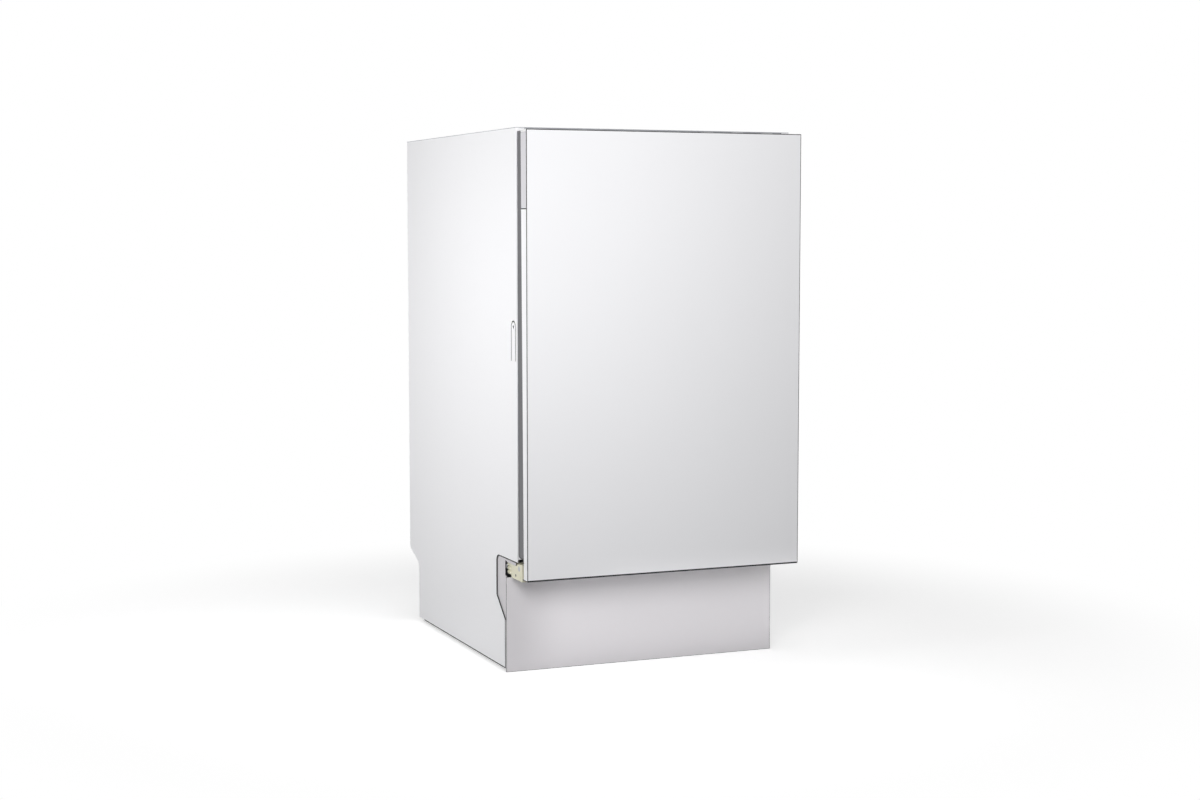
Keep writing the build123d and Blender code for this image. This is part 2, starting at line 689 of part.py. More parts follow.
# Circulation pump with flow heater, and drain pump, both standing on the base tray
with BuildPart() as circulation_pump:
    rods("y", (PUMP_FRONT, PUMP_FRONT + VOLUTE_LONG), [(FILTER_X, PUMP_Z)], VOLUTE_RADIUS)
    rods("y", (PUMP_FRONT, PUMP_FRONT + PUMP_LONG), [(FILTER_X, PUMP_Z)], MOTOR_RADIUS)
    rods("z", (PUMP_Z, DUCT_LOW), [(FILTER_X, ARM_Y)], OUTLET_RADIUS)
    saddle = (PUMP_FRONT + VOLUTE_LONG, PUMP_FRONT + PUMP_LONG)
    block(across_at(FILTER_X, MOTOR_RADIUS / 2), saddle, (BASE_FLOOR, PUMP_Z))
save(circulation_pump, "circulation_pump")

with BuildPart() as drain_pump:
    barrel = (DRAIN_FACE - DRAIN_PUMP_LONG, DRAIN_FACE)
    rods("x", barrel, [(FILTER_Y, SUCTION_Z)], DRAIN_PUMP_RADIUS)
    block(barrel, across_at(FILTER_Y, DRAIN_PUMP_RADIUS / 2), (BASE_FLOOR, SUCTION_Z))
save(drain_pump, "drain_pump")

# Water softener with the filling neck that stands on its tank, and the salt cap
with BuildPart() as water_softener:
    block(
        (-SOFTENER_OUTER, -SOFTENER_INNER), (NECK_Y - SOFTENER_AHEAD, NECK_Y + SOFTENER_BEHIND),
        (BASE_FLOOR, DUCT_LOW),
    )
    neck = (DUCT_LOW + FIT, TUB_FLOOR + NECK_PROUD)
    rods("z", neck, [(NECK_X, NECK_Y)], NECK_RADIUS)
    rods("z", neck, [(NECK_X, NECK_Y)], NECK_BORE, Mode.SUBTRACT)
save(water_softener, "water_softener")

with BuildPart() as salt_cap:
    cap_low = TUB_FLOOR + NECK_PROUD + FIT
    rods("z", (cap_low - CAP_PLUG, cap_low), [(NECK_X, NECK_Y)], NECK_BORE - FIT)
    rods("z", (cap_low, cap_low + CAP_THICK), [(NECK_X, NECK_Y)], CAP_RADIUS)
    grip = (cap_low + CAP_THICK, cap_low + CAP_THICK + GRIP_TALL)
    block(across_at(NECK_X, CAP_RADIUS - GRIP_HALF), across_at(NECK_Y, GRIP_HALF), grip)
save(salt_cap, "salt_cap")

# Filter plate on the tub floor, and the filter cylinder that twists out of it
with BuildPart() as filter_plate:
    with BuildSketch(Plane.XY.offset(TUB_FLOOR)):
        with Locations((FILTER_X, FILTER_Y)):
            RectangleRounded(2 * PLATE_HALF_X, 2 * PLATE_HALF_Y, PLATE_CORNER)
            Circle(FILTER_RADIUS + FIT, mode=Mode.SUBTRACT)
            with PolarLocations(PLATE_HOLE_RING, PLATE_HOLE_COUNT):
                Circle(PLATE_HOLE_RADIUS, mode=Mode.SUBTRACT)
    extrude(amount=PLATE_THICK)
save(filter_plate, "filter_plate")

with BuildPart() as filter_cylinder:
    collar = TUB_FLOOR + PLATE_THICK + FIT
    centre = [(FILTER_X, FILTER_Y)]
    rods("z", (WELL_LOW + PLASTIC + FILTER_LIFT, collar), centre, FILTER_RADIUS)
    rods("z", (collar, collar + COLLAR_THICK), centre, FILTER_RADIUS + COLLAR_LIP)
    rods("z", (WELL_LOW + PLASTIC + FILTER_LIFT, collar), centre, FILTER_RADIUS - PLASTIC, Mode.SUBTRACT)
    rods("z", (collar, collar + COLLAR_THICK), centre, FILTER_MOUTH, Mode.SUBTRACT)
    grip = (collar + COLLAR_THICK, collar + COLLAR_THICK + GRIP_TALL)
    block(across_at(FILTER_X, FILTER_RADIUS - GRIP_HALF), across_at(FILTER_Y, GRIP_HALF), grip)
save(filter_cylinder, "filter_cylinder")

# Water jacket beside the tub, which breaks the supply from the wash water
with BuildPart() as water_jacket:
    block(
        (-INSIDE + JACKET_CLEAR, -(TUB_HALF + SHEET)), (ARM_Y - JACKET_AHEAD, ARM_Y + JACKET_BEHIND),
        (JACKET_LOW, JACKET_TOP),
    )
save(water_jacket, "water_jacket")

# Feed pipe up the back of the tub and along its ceiling, with the docking stub and ceiling sprinkler
with BuildPart() as spray_feed_pipe:
    block(across(PIPE_HALF), (TUB_BACK - PIPE_DEEP, TUB_BACK), (TUB_FLOOR, TUB_ROOF))
    block(across(PIPE_HALF), (ARM_Y, TUB_BACK), (TUB_ROOF - PIPE_DEEP, TUB_ROOF))
    rods("z", (TUB_ROOF - 2 * PIPE_DEEP, TUB_ROOF - PIPE_DEEP), [(0, ARM_Y)], SPRINKLER_RADIUS)
    rods("y", (TUB_BACK - 2 * PIPE_DEEP, TUB_BACK - PIPE_DEEP), [(0, UPPER_ARM_Z)], DOCK_RADIUS)
save(spray_feed_pipe, "spray_feed_pipe")


# Upper rack rails: lipped channels on the tub walls
def rack_rail(side):
    run = (RAIL_FRONT, RAIL_BACK)
    with BuildPart() as rail:
        block(sideways(side, TUB_HALF - RAIL_WIDE, TUB_HALF), run, across_at(RAIL_Z, RAIL_TALL / 2))
        channel = sideways(side, TUB_HALF - RAIL_WIDE + RAIL_WALL, TUB_HALF - RAIL_WALL)
        block(channel, run, across_at(RAIL_Z, RAIL_TALL / 2 - RAIL_WALL), Mode.SUBTRACT)
        mouth = sideways(side, TUB_HALF - RAIL_WIDE, TUB_HALF - RAIL_WALL)
        block(mouth, run, across_at(RAIL_Z, RAIL_MOUTH / 2), Mode.SUBTRACT)
    return rail


for word, side in SIDES.items():
    save(rack_rail(side), f"rack_rail_{word}")

# Connections at the rear of the base: water inlet valve, drain outlet and mains inlet
with BuildPart() as inlet_valve:
    port_plate(INLET_X, PORT_PLATE)
    spigot(INLET_X, INLET_LONG, INLET_RADIUS, INLET_BORE)
save(inlet_valve, "inlet_valve")

with BuildPart() as drain_outlet:
    port_plate(DRAIN_X, PORT_PLATE)
    spigot(DRAIN_X, OUTLET_LONG, SPIGOT_RADIUS, SPIGOT_BORE)
save(drain_outlet, "drain_outlet")

with BuildPart() as mains_inlet:
    port_plate(MAINS_X, MAINS_DEEP)
    rods("y", (BASE_BACK, BASE_BACK + MAINS_DEEP), [(MAINS_X, PORT_Z)], MAINS_BORE, Mode.SUBTRACT)
save(mains_inlet, "mains_inlet")

# Door front: sheet folded back along both sides and the bottom
with BuildPart() as door_front_panel:
    block(across(HALF), (FRONT, FACE_BACK), (DOOR_LOW, DOOR_TOP))
    for side in SIDES.values():
        door_web(sideways(side, INSIDE, HALF), DOOR_LOW, RETURN_TOP)
    door_web(across(INSIDE), DOOR_LOW, DOOR_LOW + SHEET)
save(door_front_panel, "door_front_panel")

# Control housing across the top of the door, open towards the front sheet and the fascia
with BuildPart() as control_housing:
    door_web(across(HALF), HOUSING_LOW, FASCIA_LOW)
    door_web(across(HALF - PLASTIC), HOUSING_LOW + PLASTIC, FASCIA_LOW, PLASTIC, Mode.SUBTRACT)
    slot = (STRIKER_SPAN[0] - LATCH_SLOT, STRIKER_SPAN[1] + LATCH_SLOT)
    slab(across(STRIKER_HALF + LATCH_SLOT), slot, -DOOR_GAP - PLASTIC, -DOOR_GAP, Mode.SUBTRACT)
    wall = -DOOR_GAP - PLASTIC
    slab(BOARD_X, (BOARD_LOW - PLASTIC, BOARD_LOW), wall - BOARD_LEDGE, wall)
save(control_housing, "control_housing")

with BuildPart() as control_fascia:
    door_web(across(HALF), FASCIA_LOW, DOOR_TOP)
    for x in BUTTON_SPOTS.values():
        block(
            across_at(x, BUTTON_HALF_X + FIT), across_at(BUTTON_Y, BUTTON_HALF_Y + FIT),
            (FASCIA_LOW, DOOR_TOP), Mode.SUBTRACT,
        )
save(control_fascia, "control_fascia")

with BuildPart() as control_board:
    board_back = seal_line(BOARD_LOW) - DOOR_GAP - PLASTIC - FIT
    block(BOARD_X, (FACE_BACK + PLASTIC, board_back), (BOARD_LOW, BOARD_LOW + BOARD_THICK))
    switches = [(x, BUTTON_Y) for x in BUTTON_SPOTS.values()]
    rods("z", (BOARD_LOW + BOARD_THICK, BOARD_LOW + BOARD_THICK + SWITCH_TALL), switches, SWITCH_RADIUS)
save(control_board, "control_board")

# Push buttons: a cap through the fascia with a retaining flange under it
for name, x in BUTTON_SPOTS.items():
    with BuildPart() as button:
        cap_low = FASCIA_LOW - FASCIA_THICK
        block(
            across_at(x, BUTTON_HALF_X), across_at(BUTTON_Y, BUTTON_HALF_Y),
            (cap_low, DOOR_TOP + BUTTON_PROUD),
        )
        block(
            across_at(x, BUTTON_HALF_X + BUTTON_FLANGE), across_at(BUTTON_Y, BUTTON_HALF_Y + BUTTON_FLANGE),
            (cap_low - BUTTON_FLANGE, cap_low),
        )
    save(button, name)

with BuildPart() as door_latch:
    latch_top = STRIKER_SPAN[0] - LATCH_SLOT
    inner = -DOOR_GAP - PLASTIC
    slab(across(LATCH_HALF), (latch_top - LATCH_TALL, latch_top), inner - LATCH_DEEP, inner)
save(door_latch, "door_latch")

# Door liner: leaning sheet with folded sides and a raised pan that reaches into the tub
with BuildPart() as door_liner:
    slab(across(LINER_HALF), (LINER_LOW, LINER_TOP), -DOOR_GAP, SHEET - DOOR_GAP)
    slab(across(TONGUE_HALF), (TONGUE_LOW, LINER_LOW), -DOOR_GAP, SHEET - DOOR_GAP)
    for side in SIDES.values():
        door_web(sideways(side, LINER_HALF - SHEET, LINER_HALF), LINER_LOW, RETURN_TOP)
    slab(across(PAN_HALF), (PAN_LOW, PAN_TOP), -DOOR_GAP, PAN_FACE)
    hollow = (PAN_LOW + SHEET, PAN_TOP - SHEET)
    slab(across(PAN_HALF - SHEET), hollow, -DOOR_GAP, PAN_FACE - SHEET, Mode.SUBTRACT)
    slab(
        (DISPENSER_X[0] - FIT, DISPENSER_X[1] + FIT), (DISPENSER_Z[0] - FIT, DISPENSER_Z[1] + FIT),
        -DOOR_GAP, PAN_FACE, Mode.SUBTRACT,
    )
save(door_liner, "door_liner")

with BuildPart() as bottom_seal:
    slab(across(TONGUE_HALF), BOTTOM_SEAL, SHEET - DOOR_GAP, SHEET - DOOR_GAP + BOTTOM_SEAL_THICK)
save(bottom_seal, "bottom_seal")


# Hinge arms: a plate up the inside of the door with an eye on the hinge pin
def hinge_arm(side):
    plate = sideways(side, ARM_X, ARM_X + ARM_SHEET)
    limb = FACE_BACK + ARM_LIMB
    with BuildPart() as arm:
        prism(plate, [
            (FACE_BACK, HINGE_Z - ARM_NECK),
            (HINGE_Y, HINGE_Z - ARM_NECK),
            (HINGE_Y, HINGE_Z + ARM_NECK),
            (limb, HINGE_Z + ARM_NECK),
            (limb, ARM_TOP),
            (FACE_BACK, ARM_TOP),
        ])
        rods("x", plate, [(HINGE_Y, HINGE_Z)], NOSE)
        rods("x", plate, [(HINGE_Y, HINGE_Z)], PIN_RADIUS + SHAFT_FIT, Mode.SUBTRACT)
    return arm


for word, side in SIDES.items():
    save(hinge_arm(side), f"hinge_arm_{word}")

# Detergent dispenser: body with an open cup and a rinse-aid port, sliding lid and turning cap
DISPENSER_FACE = PAN_FACE + DISPENSER_PROUD
rinse_face = seal_line(RINSE_Z) + DISPENSER_FACE

with BuildPart() as detergent_dispenser:
    slab(DISPENSER_X, DISPENSER_Z, PAN_FACE - DISPENSER_DEEP, DISPENSER_FACE)
    slab(CUP_X, CUP_Z, DISPENSER_FACE - CUP_DEEP, DISPENSER_FACE, Mode.SUBTRACT)
    rods(
        "y", (rinse_face - RINSE_DEEP, rinse_face + RINSE_DEEP), [(RINSE_X, RINSE_Z)],
        RINSE_RADIUS + FIT, Mode.SUBTRACT,
    )
save(detergent_dispenser, "detergent_dispenser")

with BuildPart() as detergent_lid:
    slab(
        (CUP_X[0] - LID_LAP, CUP_X[1] + LID_LAP), (CUP_Z[0] - LID_LAP, CUP_Z[1] + LID_LAP),
        DISPENSER_FACE + FIT, DISPENSER_FACE + FIT + LID_THICK,
    )
save(detergent_lid, "detergent_lid")

with BuildPart() as rinse_aid_cap:
    rinse_spot = [(RINSE_X, RINSE_Z)]
    head = rinse_face + RINSE_LIFT
    rods("y", (rinse_face - RINSE_DEEP + FIT, head), rinse_spot, RINSE_RADIUS)
    rods("y", (head, head + RINSE_THICK), rinse_spot, RINSE_RADIUS + LID_LAP)
    block(
        across_at(RINSE_X, RINSE_RADIUS - GRIP_HALF), (head + RINSE_THICK, head + RINSE_THICK + GRIP_TALL),
        across_at(RINSE_Z, GRIP_HALF),
    )
save(rinse_aid_cap, "rinse_aid_cap")


# Spray arms: a flat blade with a hub and two rows of nozzles
def spray_arm(hub_low, blade_low):
    hub_top = hub_low + HUB_TALL
    blade_top = blade_low + ARM_THICK
    reach = [HUB_RADIUS + NOZZLE_STEP * (i + 0.5) for i in range(NOZZLE_COUNT)]
    nozzles = [(sign * r, ARM_Y + sign * ARM_WIDE / 5) for r in reach for sign in (-1, 1)]
    with BuildPart() as arm:
        with BuildSketch(Plane.XY.offset(blade_low)):
            with Locations((0, ARM_Y)):
                SlotOverall(2 * ARM_SPAN, ARM_WIDE)
        extrude(amount=ARM_THICK)
        rods("z", (hub_low, hub_top), [(0, ARM_Y)], HUB_RADIUS)
        rods("z", (blade_top - NOZZLE_DEEP, blade_top), nozzles, NOZZLE_RADIUS, Mode.SUBTRACT)
        rods("z", (hub_low, hub_top), [(0, ARM_Y)], POST_RADIUS + SHAFT_FIT, Mode.SUBTRACT)
    return arm


lower_hub_low = TUB_FLOOR + POST_SHOULDER + FIT
save(spray_arm(lower_hub_low, lower_hub_low + FIT), "lower_spray_arm")
save(spray_arm(UPPER_HUB_LOW, UPPER_HUB_LOW + FIT), "upper_spray_arm")


def wire_basket(half, floor, rim):
    """Add the welded wires of a rack: floor grid, uprights between its wires, and rim."""
    run = (RACK_FRONT, RACK_BACK)
    cross = across(half + WIRE / 2)
    longs, crosses = wire_places(half)
    ends = (crosses[0], crosses[-1])
    rods("y", run, [(x, floor) for x in longs], WIRE)
    rods("x", cross, [(y, floor + WELD) for y in crosses], WIRE)
    uprights = (floor - WIRE / 2, rim + WELD)
    rods("z", uprights, [(side * (half - WELD), y) for side in (-1, 1) for y in midway(crosses)], WIRE)
    rods("z", uprights, [(x, y) for y in (ends[0] + WELD, ends[1] - WELD) for x in midway(longs)], WIRE)
    rods("y", run, [(side * half, rim) for side in (-1, 1)], WIRE)
    rods("x", cross, [(y, rim + WELD) for y in ends], WIRE)


def midway(places):
    """Middles of the gaps between neighbouring places."""
    return [(here + there) / 2 for here, there in zip(places, places[1:])]


def wire_places(half):
    """X of the wires that run front to back, and Y of the wires that run across."""
    longs = [-half + 2 * half * i / (LONG_WIRES - 1) for i in range(LONG_WIRES)]
    count = max(3, round((RACK_BACK - RACK_FRONT) / WIRE_PITCH_Y) + 1)
    ends = (RACK_FRONT + WELD, RACK_BACK - WELD)
    crosses = [ends[0] + (ends[1] - ends[0]) * i / (count - 1) for i in range(count)]
    return longs, crosses


# Lower rack: wire basket with plate tines and wheel plates
with BuildPart() as lower_rack:
    wire_basket(LOWER_HALF, LOWER_FLOOR, LOWER_RIM)
    longs, crosses = wire_places(LOWER_HALF)
    tines = [(x + WELD / 2, y) for x in longs[1:-1:2] for y in crosses[2:-2] if clear_of_basket(x, y)]
    rods("z", (LOWER_FLOOR, LOWER_FLOOR + TINE_TALL), tines, TINE)
    for side, y in WHEEL_SPOTS.values():
        plate = sideways(side, WHEEL_X + WHEEL_WIDE + FIT, WHEEL_X + WHEEL_WIDE + FIT + WHEEL_PLATE)
        block(plate, across_at(y, 2 * AXLE_RADIUS), (AXLE_Z - AXLE_RADIUS, LOWER_FLOOR))
        block(
            sideways(side, WHEEL_X + WHEEL_WIDE + FIT, LOWER_HALF), across_at(y, 2 * AXLE_RADIUS),
            (LOWER_FLOOR - WHEEL_PLATE, LOWER_FLOOR),
        )
        rods("x", sideways(side, WHEEL_X, WHEEL_X + WHEEL_WIDE + FIT), [(y, AXLE_Z)], AXLE_RADIUS)
save(lower_rack, "lower_rack")

for name, (side, y) in WHEEL_SPOTS.items():
    with BuildPart() as wheel:
        tread = sideways(side, WHEEL_X, WHEEL_X + WHEEL_WIDE)
        rods("x", tread, [(y, AXLE_Z)], WHEEL_RADIUS)
        rods("x", tread, [(y, AXLE_Z)], AXLE_RADIUS + SHAFT_FIT, Mode.SUBTRACT)
    save(wheel, name)

# Cutlery basket: open box divided into cells, with a carrying handle
with BuildPart() as cutlery_basket:
    basket_low = LOWER_FLOOR + WELD + WIRE + FIT
    basket_top = basket_low + BASKET_TALL
    block(BASKET_X, BASKET_Y, (basket_low, basket_top))
    cell = (BASKET_Y[1] - BASKET_Y[0] - BASKET_WALL) / BASKET_CELLS
    hollow = (BASKET_X[0] + BASKET_WALL, BASKET_X[1] - BASKET_WALL)
    for i in range(BASKET_CELLS):
        start = BASKET_Y[0] + BASKET_WALL + i * cell
        end = start + cell - BASKET_WALL
        block(hollow, (start, end), (basket_low + BASKET_WALL, basket_top), Mode.SUBTRACT)
    middle = sum(BASKET_X) / 2
    handle = across_at(middle, 2 * BASKET_WALL)
    post = 2 * BASKET_WALL
    top = basket_top + BASKET_HANDLE
    block(handle, (BASKET_Y[0], BASKET_Y[0] + BASKET_WALL), (basket_top, top))
    block(handle, (BASKET_Y[1] - BASKET_WALL, BASKET_Y[1]), (basket_top, top))
    block(handle, BASKET_Y, (top - post, top))
save(cutlery_basket, "cutlery_basket")

# Upper rack: wire basket with runners in the rails, a spray arm carrier and lugs for the cup shelf
with BuildPart() as upper_rack:
    wire_basket(UPPER_HALF, UPPER_FLOOR, UPPER_RIM)
    for side in SIDES.values():
        run = (RAIL_FRONT + WELD, RACK_BACK)
        web = sideways(side, UPPER_HALF - WELD, TUB_HALF - RAIL_WALL - FIT)
        block(web, run, across_at(RAIL_Z, RAIL_MOUTH / 2 - FIT))
        head = sideways(side, TUB_HALF - RAIL_WIDE + RAIL_WALL + FIT, TUB_HALF - RAIL_WALL - FIT)
        block(head, run, across_at(RAIL_Z, RAIL_TALL / 2 - RAIL_WALL - FIT))
    block(across(CARRIER_HALF), across_at(ARM_Y, CARRIER_HALF), across_at(UPPER_FLOOR, WELD))
    shoulder = UPPER_HUB_LOW + HUB_TALL + FIT
    rods("z", (shoulder, UPPER_FLOOR), [(0, ARM_Y)], HUB_RADIUS)
    rods("z", (UPPER_HUB_LOW - FIT, UPPER_FLOOR), [(0, ARM_Y)], POST_RADIUS)
    rods("z", (UPPER_HUB_LOW - FIT - LIP_THICK, UPPER_HUB_LOW - FIT), [(0, ARM_Y)], POST_RADIUS + LIP_THICK)
    for y in SHELF_ENDS:
        lug = (-UPPER_HALF - WIRE / 2, -SHELF_X + 2 * SHELF_PIVOT)
        block(lug, across_at(y, LUG_THICK / 2), (SHELF_Z - 2 * SHELF_PIVOT, UPPER_RIM - WIRE / 2))
        rods("y", across_at(y, LUG_THICK / 2), [(-SHELF_X, SHELF_Z)], SHELF_PIVOT + SHAFT_FIT, Mode.SUBTRACT)
save(upper_rack, "upper_rack")

# Cup shelf: a slotted leaf on a pivot rod
with BuildPart() as cup_shelf:
    rods("y", (SHELF_ENDS[0] - LUG_THICK, SHELF_ENDS[1] + LUG_THICK), [(-SHELF_X, SHELF_Z)], SHELF_PIVOT)
    leaf = (SHELF_ENDS[0] + LUG_THICK, SHELF_ENDS[1] - LUG_THICK)
    block((-SHELF_X, -SHELF_X + SHELF_WIDE), leaf, across_at(SHELF_Z, SHELF_THICK / 2))
    pitch = (leaf[1] - leaf[0]) / SHELF_SLOTS
    for i in range(SHELF_SLOTS):
        slot_y = leaf[0] + pitch * (i + 0.5)
        block(
            (-SHELF_X + 4 * SHELF_PIVOT, -SHELF_X + SHELF_WIDE - 4 * SHELF_PIVOT),
            across_at(slot_y, SHELF_SLOT_WIDE / 2), across_at(SHELF_Z, SHELF_THICK), Mode.SUBTRACT,
        )
save(cup_shelf, "cup_shelf")
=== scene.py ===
"""Looks of a slim built-in dishwasher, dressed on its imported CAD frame."""

import json
import math

import bmesh
import bpy
from bpy.props import FloatProperty, FloatVectorProperty, PointerProperty
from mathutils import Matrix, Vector
from mathutils.bvhtree import BVHTree

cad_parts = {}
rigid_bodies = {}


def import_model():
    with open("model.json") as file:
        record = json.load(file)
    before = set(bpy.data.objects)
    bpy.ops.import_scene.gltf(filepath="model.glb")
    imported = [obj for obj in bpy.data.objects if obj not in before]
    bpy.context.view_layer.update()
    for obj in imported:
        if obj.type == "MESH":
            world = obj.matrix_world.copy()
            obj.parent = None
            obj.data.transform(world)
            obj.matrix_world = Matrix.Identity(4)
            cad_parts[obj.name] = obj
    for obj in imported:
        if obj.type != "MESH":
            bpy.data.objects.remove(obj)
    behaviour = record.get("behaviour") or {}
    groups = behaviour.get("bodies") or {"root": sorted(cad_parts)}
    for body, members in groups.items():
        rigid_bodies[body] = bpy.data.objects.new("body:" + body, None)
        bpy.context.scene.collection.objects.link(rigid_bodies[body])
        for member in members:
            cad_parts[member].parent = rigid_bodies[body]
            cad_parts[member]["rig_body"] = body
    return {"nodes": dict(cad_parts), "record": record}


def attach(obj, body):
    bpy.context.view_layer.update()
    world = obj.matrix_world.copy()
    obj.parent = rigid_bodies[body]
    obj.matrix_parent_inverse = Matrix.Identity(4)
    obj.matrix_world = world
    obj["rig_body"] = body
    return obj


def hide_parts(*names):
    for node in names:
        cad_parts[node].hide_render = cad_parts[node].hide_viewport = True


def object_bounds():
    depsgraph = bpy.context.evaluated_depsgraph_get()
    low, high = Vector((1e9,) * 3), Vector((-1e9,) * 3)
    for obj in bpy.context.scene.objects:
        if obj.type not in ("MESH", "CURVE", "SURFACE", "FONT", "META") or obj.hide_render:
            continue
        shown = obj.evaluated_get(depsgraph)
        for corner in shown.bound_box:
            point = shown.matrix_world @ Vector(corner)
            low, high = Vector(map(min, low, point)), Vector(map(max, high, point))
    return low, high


bl_info = {
    "name": "Slim built-in dishwasher",
    "version": (1, 0, 0),
    "blender": (4, 5, 0),
    "location": "3D View > Sidebar > Dishwasher",
    "description": "Dresses the packed dishwasher frame with finishes and small parts",
    "category": "Object",
}

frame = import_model()
NODES = frame["nodes"]
CAD_LOW, CAD_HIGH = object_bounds()
MM = 0.001
WHITE = (1.0, 1.0, 1.0, 1.0)

# the sides of the machine, each with the end of a node's span that is its outer face
SIDES = (("left", 0), ("right", 1))

# how CAD meshes are joined: the gap between twin corners and the bend in degrees that still counts as flat
TWIN_GAP = 1e-6
FLAT_BEND = 0.4

# cosines of the bends up to which a face counts as square to an axis, or as flush with its neighbour
SQUARE = 0.99
FLUSH = 0.99996

# how far from the outer face's plane the middle of one of its faces may lie
SKIN_GAP = 0.01 * MM

# steps of a rounded edge, and the bend in degrees above which an edge is rounded
ROUND_STEPS = 2
ROUND_BEND = 30.0

# bend in degrees that stays crisp on grown shapes, and corners of a round wire's section
CRISP = 35.0
WIRE_SIDES = 8

# cross recess of a screw, its length and width, and its shank, all as shares of the head's radius
RECESS_LONG = 1.1
RECESS_WIDE = 0.26
SHANK = 0.37

# edges above which a flat face is taken as a round wire's end
MANY_EDGES = 6

# widest narrow face that is the cut edge of a painted sheet
CUT_EDGE = 1.3 * MM

# turns of the door springs lie this many half wires apart
COIL_PITCH = 2.3

# places of the spray arms' nozzles from the middle of the arm
NOZZLE_REACH = (0.034, 0.066, 0.098, 0.130)
NOZZLE_SIDE = 0.0068
ARM_TOP = 0.0123

# depth and levels of the ribs on the hinge bearings' heels, and place of their plugged hole
BEARING_HEEL = -0.2023
HEEL_RIBS = (0.1535, 0.1595, 0.1655)
BEARING_PLUG = (-0.2323, 0.154)

# front, low edge, top, nose, sheet and depth behind the side panel's face of the lip over each bearing
LIP_FRONT = -0.2373
LIP_LOW = 0.1690
LIP_TOP = 0.1775
LIP_NOSE = 2.5 * MM
LIP_SHEET = MM
LIP_DEPTH = 1.35 * MM

# the dark bead of painted shadow along notch and foot: rear end of the notch, room above the bearing, rear
# end of the foot, depth below the face
NOTCH_REAR = -0.15
NOTCH_ROOM = 3 * MM
FOOT_BEAD_END = 0.21
BEAD_DEPTH = 0.2 * MM

# heights and places of pressed ribs
REAR_ACROSS = (0.26, 0.37, 0.58, 0.69)
REAR_UPRIGHT = (-0.175, 0.175)
REAR_MIDDLE = 0.475
TUB_WALL = (0.68, 0.705, 0.73)
TUB_BACK = (-0.15, -0.1, 0.1, 0.15)
TUB_MIDDLE = 0.42
TUB_DEEP = -0.01
LINER = (0.29, 0.33, 0.37, 0.65, 0.69, 0.73)

# starts of lines to a surface: in the tub to the door's inner face, in the tub to its walls, clear of a part
WASH_PLANE = -0.15
TUB_START = 0.1
CLEAR = 0.02

# ribs along and across the cutlery basket, and their height above its floor
BASKET_ALONG = 14
BASKET_ACROSS = 6
BASKET_LEVEL = 45 * MM

# in millimetres: barbs from the drain's end, ribs up the detergent lid, lenses across the fascia
BARBS = (2.0, 7.0, 12.0, 17.0)
LID_RIBS = (0, 5, 10, 15)
LENSES = (-40, -24, -8, 8, 24)

# the photograph's camera, its tilt down and its turn in degrees
CAMERA_PLACE = (-1.2353, -2.9930, 0.6696)
CAMERA_TILT = 4.912
CAMERA_TURN = 22.625

# floor: half its width, the grey that the object sees, its glow, and the radii between which it fades
FLOOR_HALF = 60.0
BOUNCE = (0.45, 0.45, 0.46, 1.0)
FLOOR_GLOW = 0.5
FADE = (0.55, 1.1)

# plastic mouldings with rounded edges
MOULDED = (
    "power_button", "program_button", "start_button", "detergent_lid", "rinse_aid_cap",
    "detergent_dispenser", "salt_cap", "cup_shelf", "front_foot_left", "front_foot_right", "rear_foot",
    "base_tray", "spray_feed_pipe", "cutlery_basket", "inlet_valve", "drain_outlet", "mains_inlet",
    "door_latch",
)

# node, axis, level of the knurl in mm from the low end or, if below zero, the high end, length in mm, count
KNURLS = (
    ("salt_cap", (0, 0, 1), -5.5, 4.2, 40),
    ("filter_cylinder", (0, 0, 1), -1.6, 2.6, 48),
    ("rinse_aid_cap", (0, 1, 0), -5.0, 3.4, 36),
    ("front_foot_left", (0, 0, 1), 3.5, 5.0, 24),
    ("front_foot_right", (0, 0, 1), 3.5, 5.0, 24),
    ("rear_foot", (0, 0, 1), 3.5, 5.0, 24),
)


def tint(label, note, red, green, blue):
    """A colour property, its default given as 0 to 255 screen values."""
    linear = []
    for value in (red, green, blue):
        share = value / 255
        linear.append(share / 12.92 if share < 0.04045 else ((share + 0.055) / 1.055) ** 2.4)
    return FloatVectorProperty(
        name=label, description=note, subtype="COLOR", size=3, min=0, max=1, default=linear)


def length(label, note, millimetres):
    """A size property in metres, its default given in millimetres."""
    return FloatProperty(name=label, description=note, unit="LENGTH", min=0, default=millimetres * MM)


def watts(label, note, power):
    """The power of a lamp."""
    return FloatProperty(name=label, description=note, subtype="POWER", min=0, default=power)


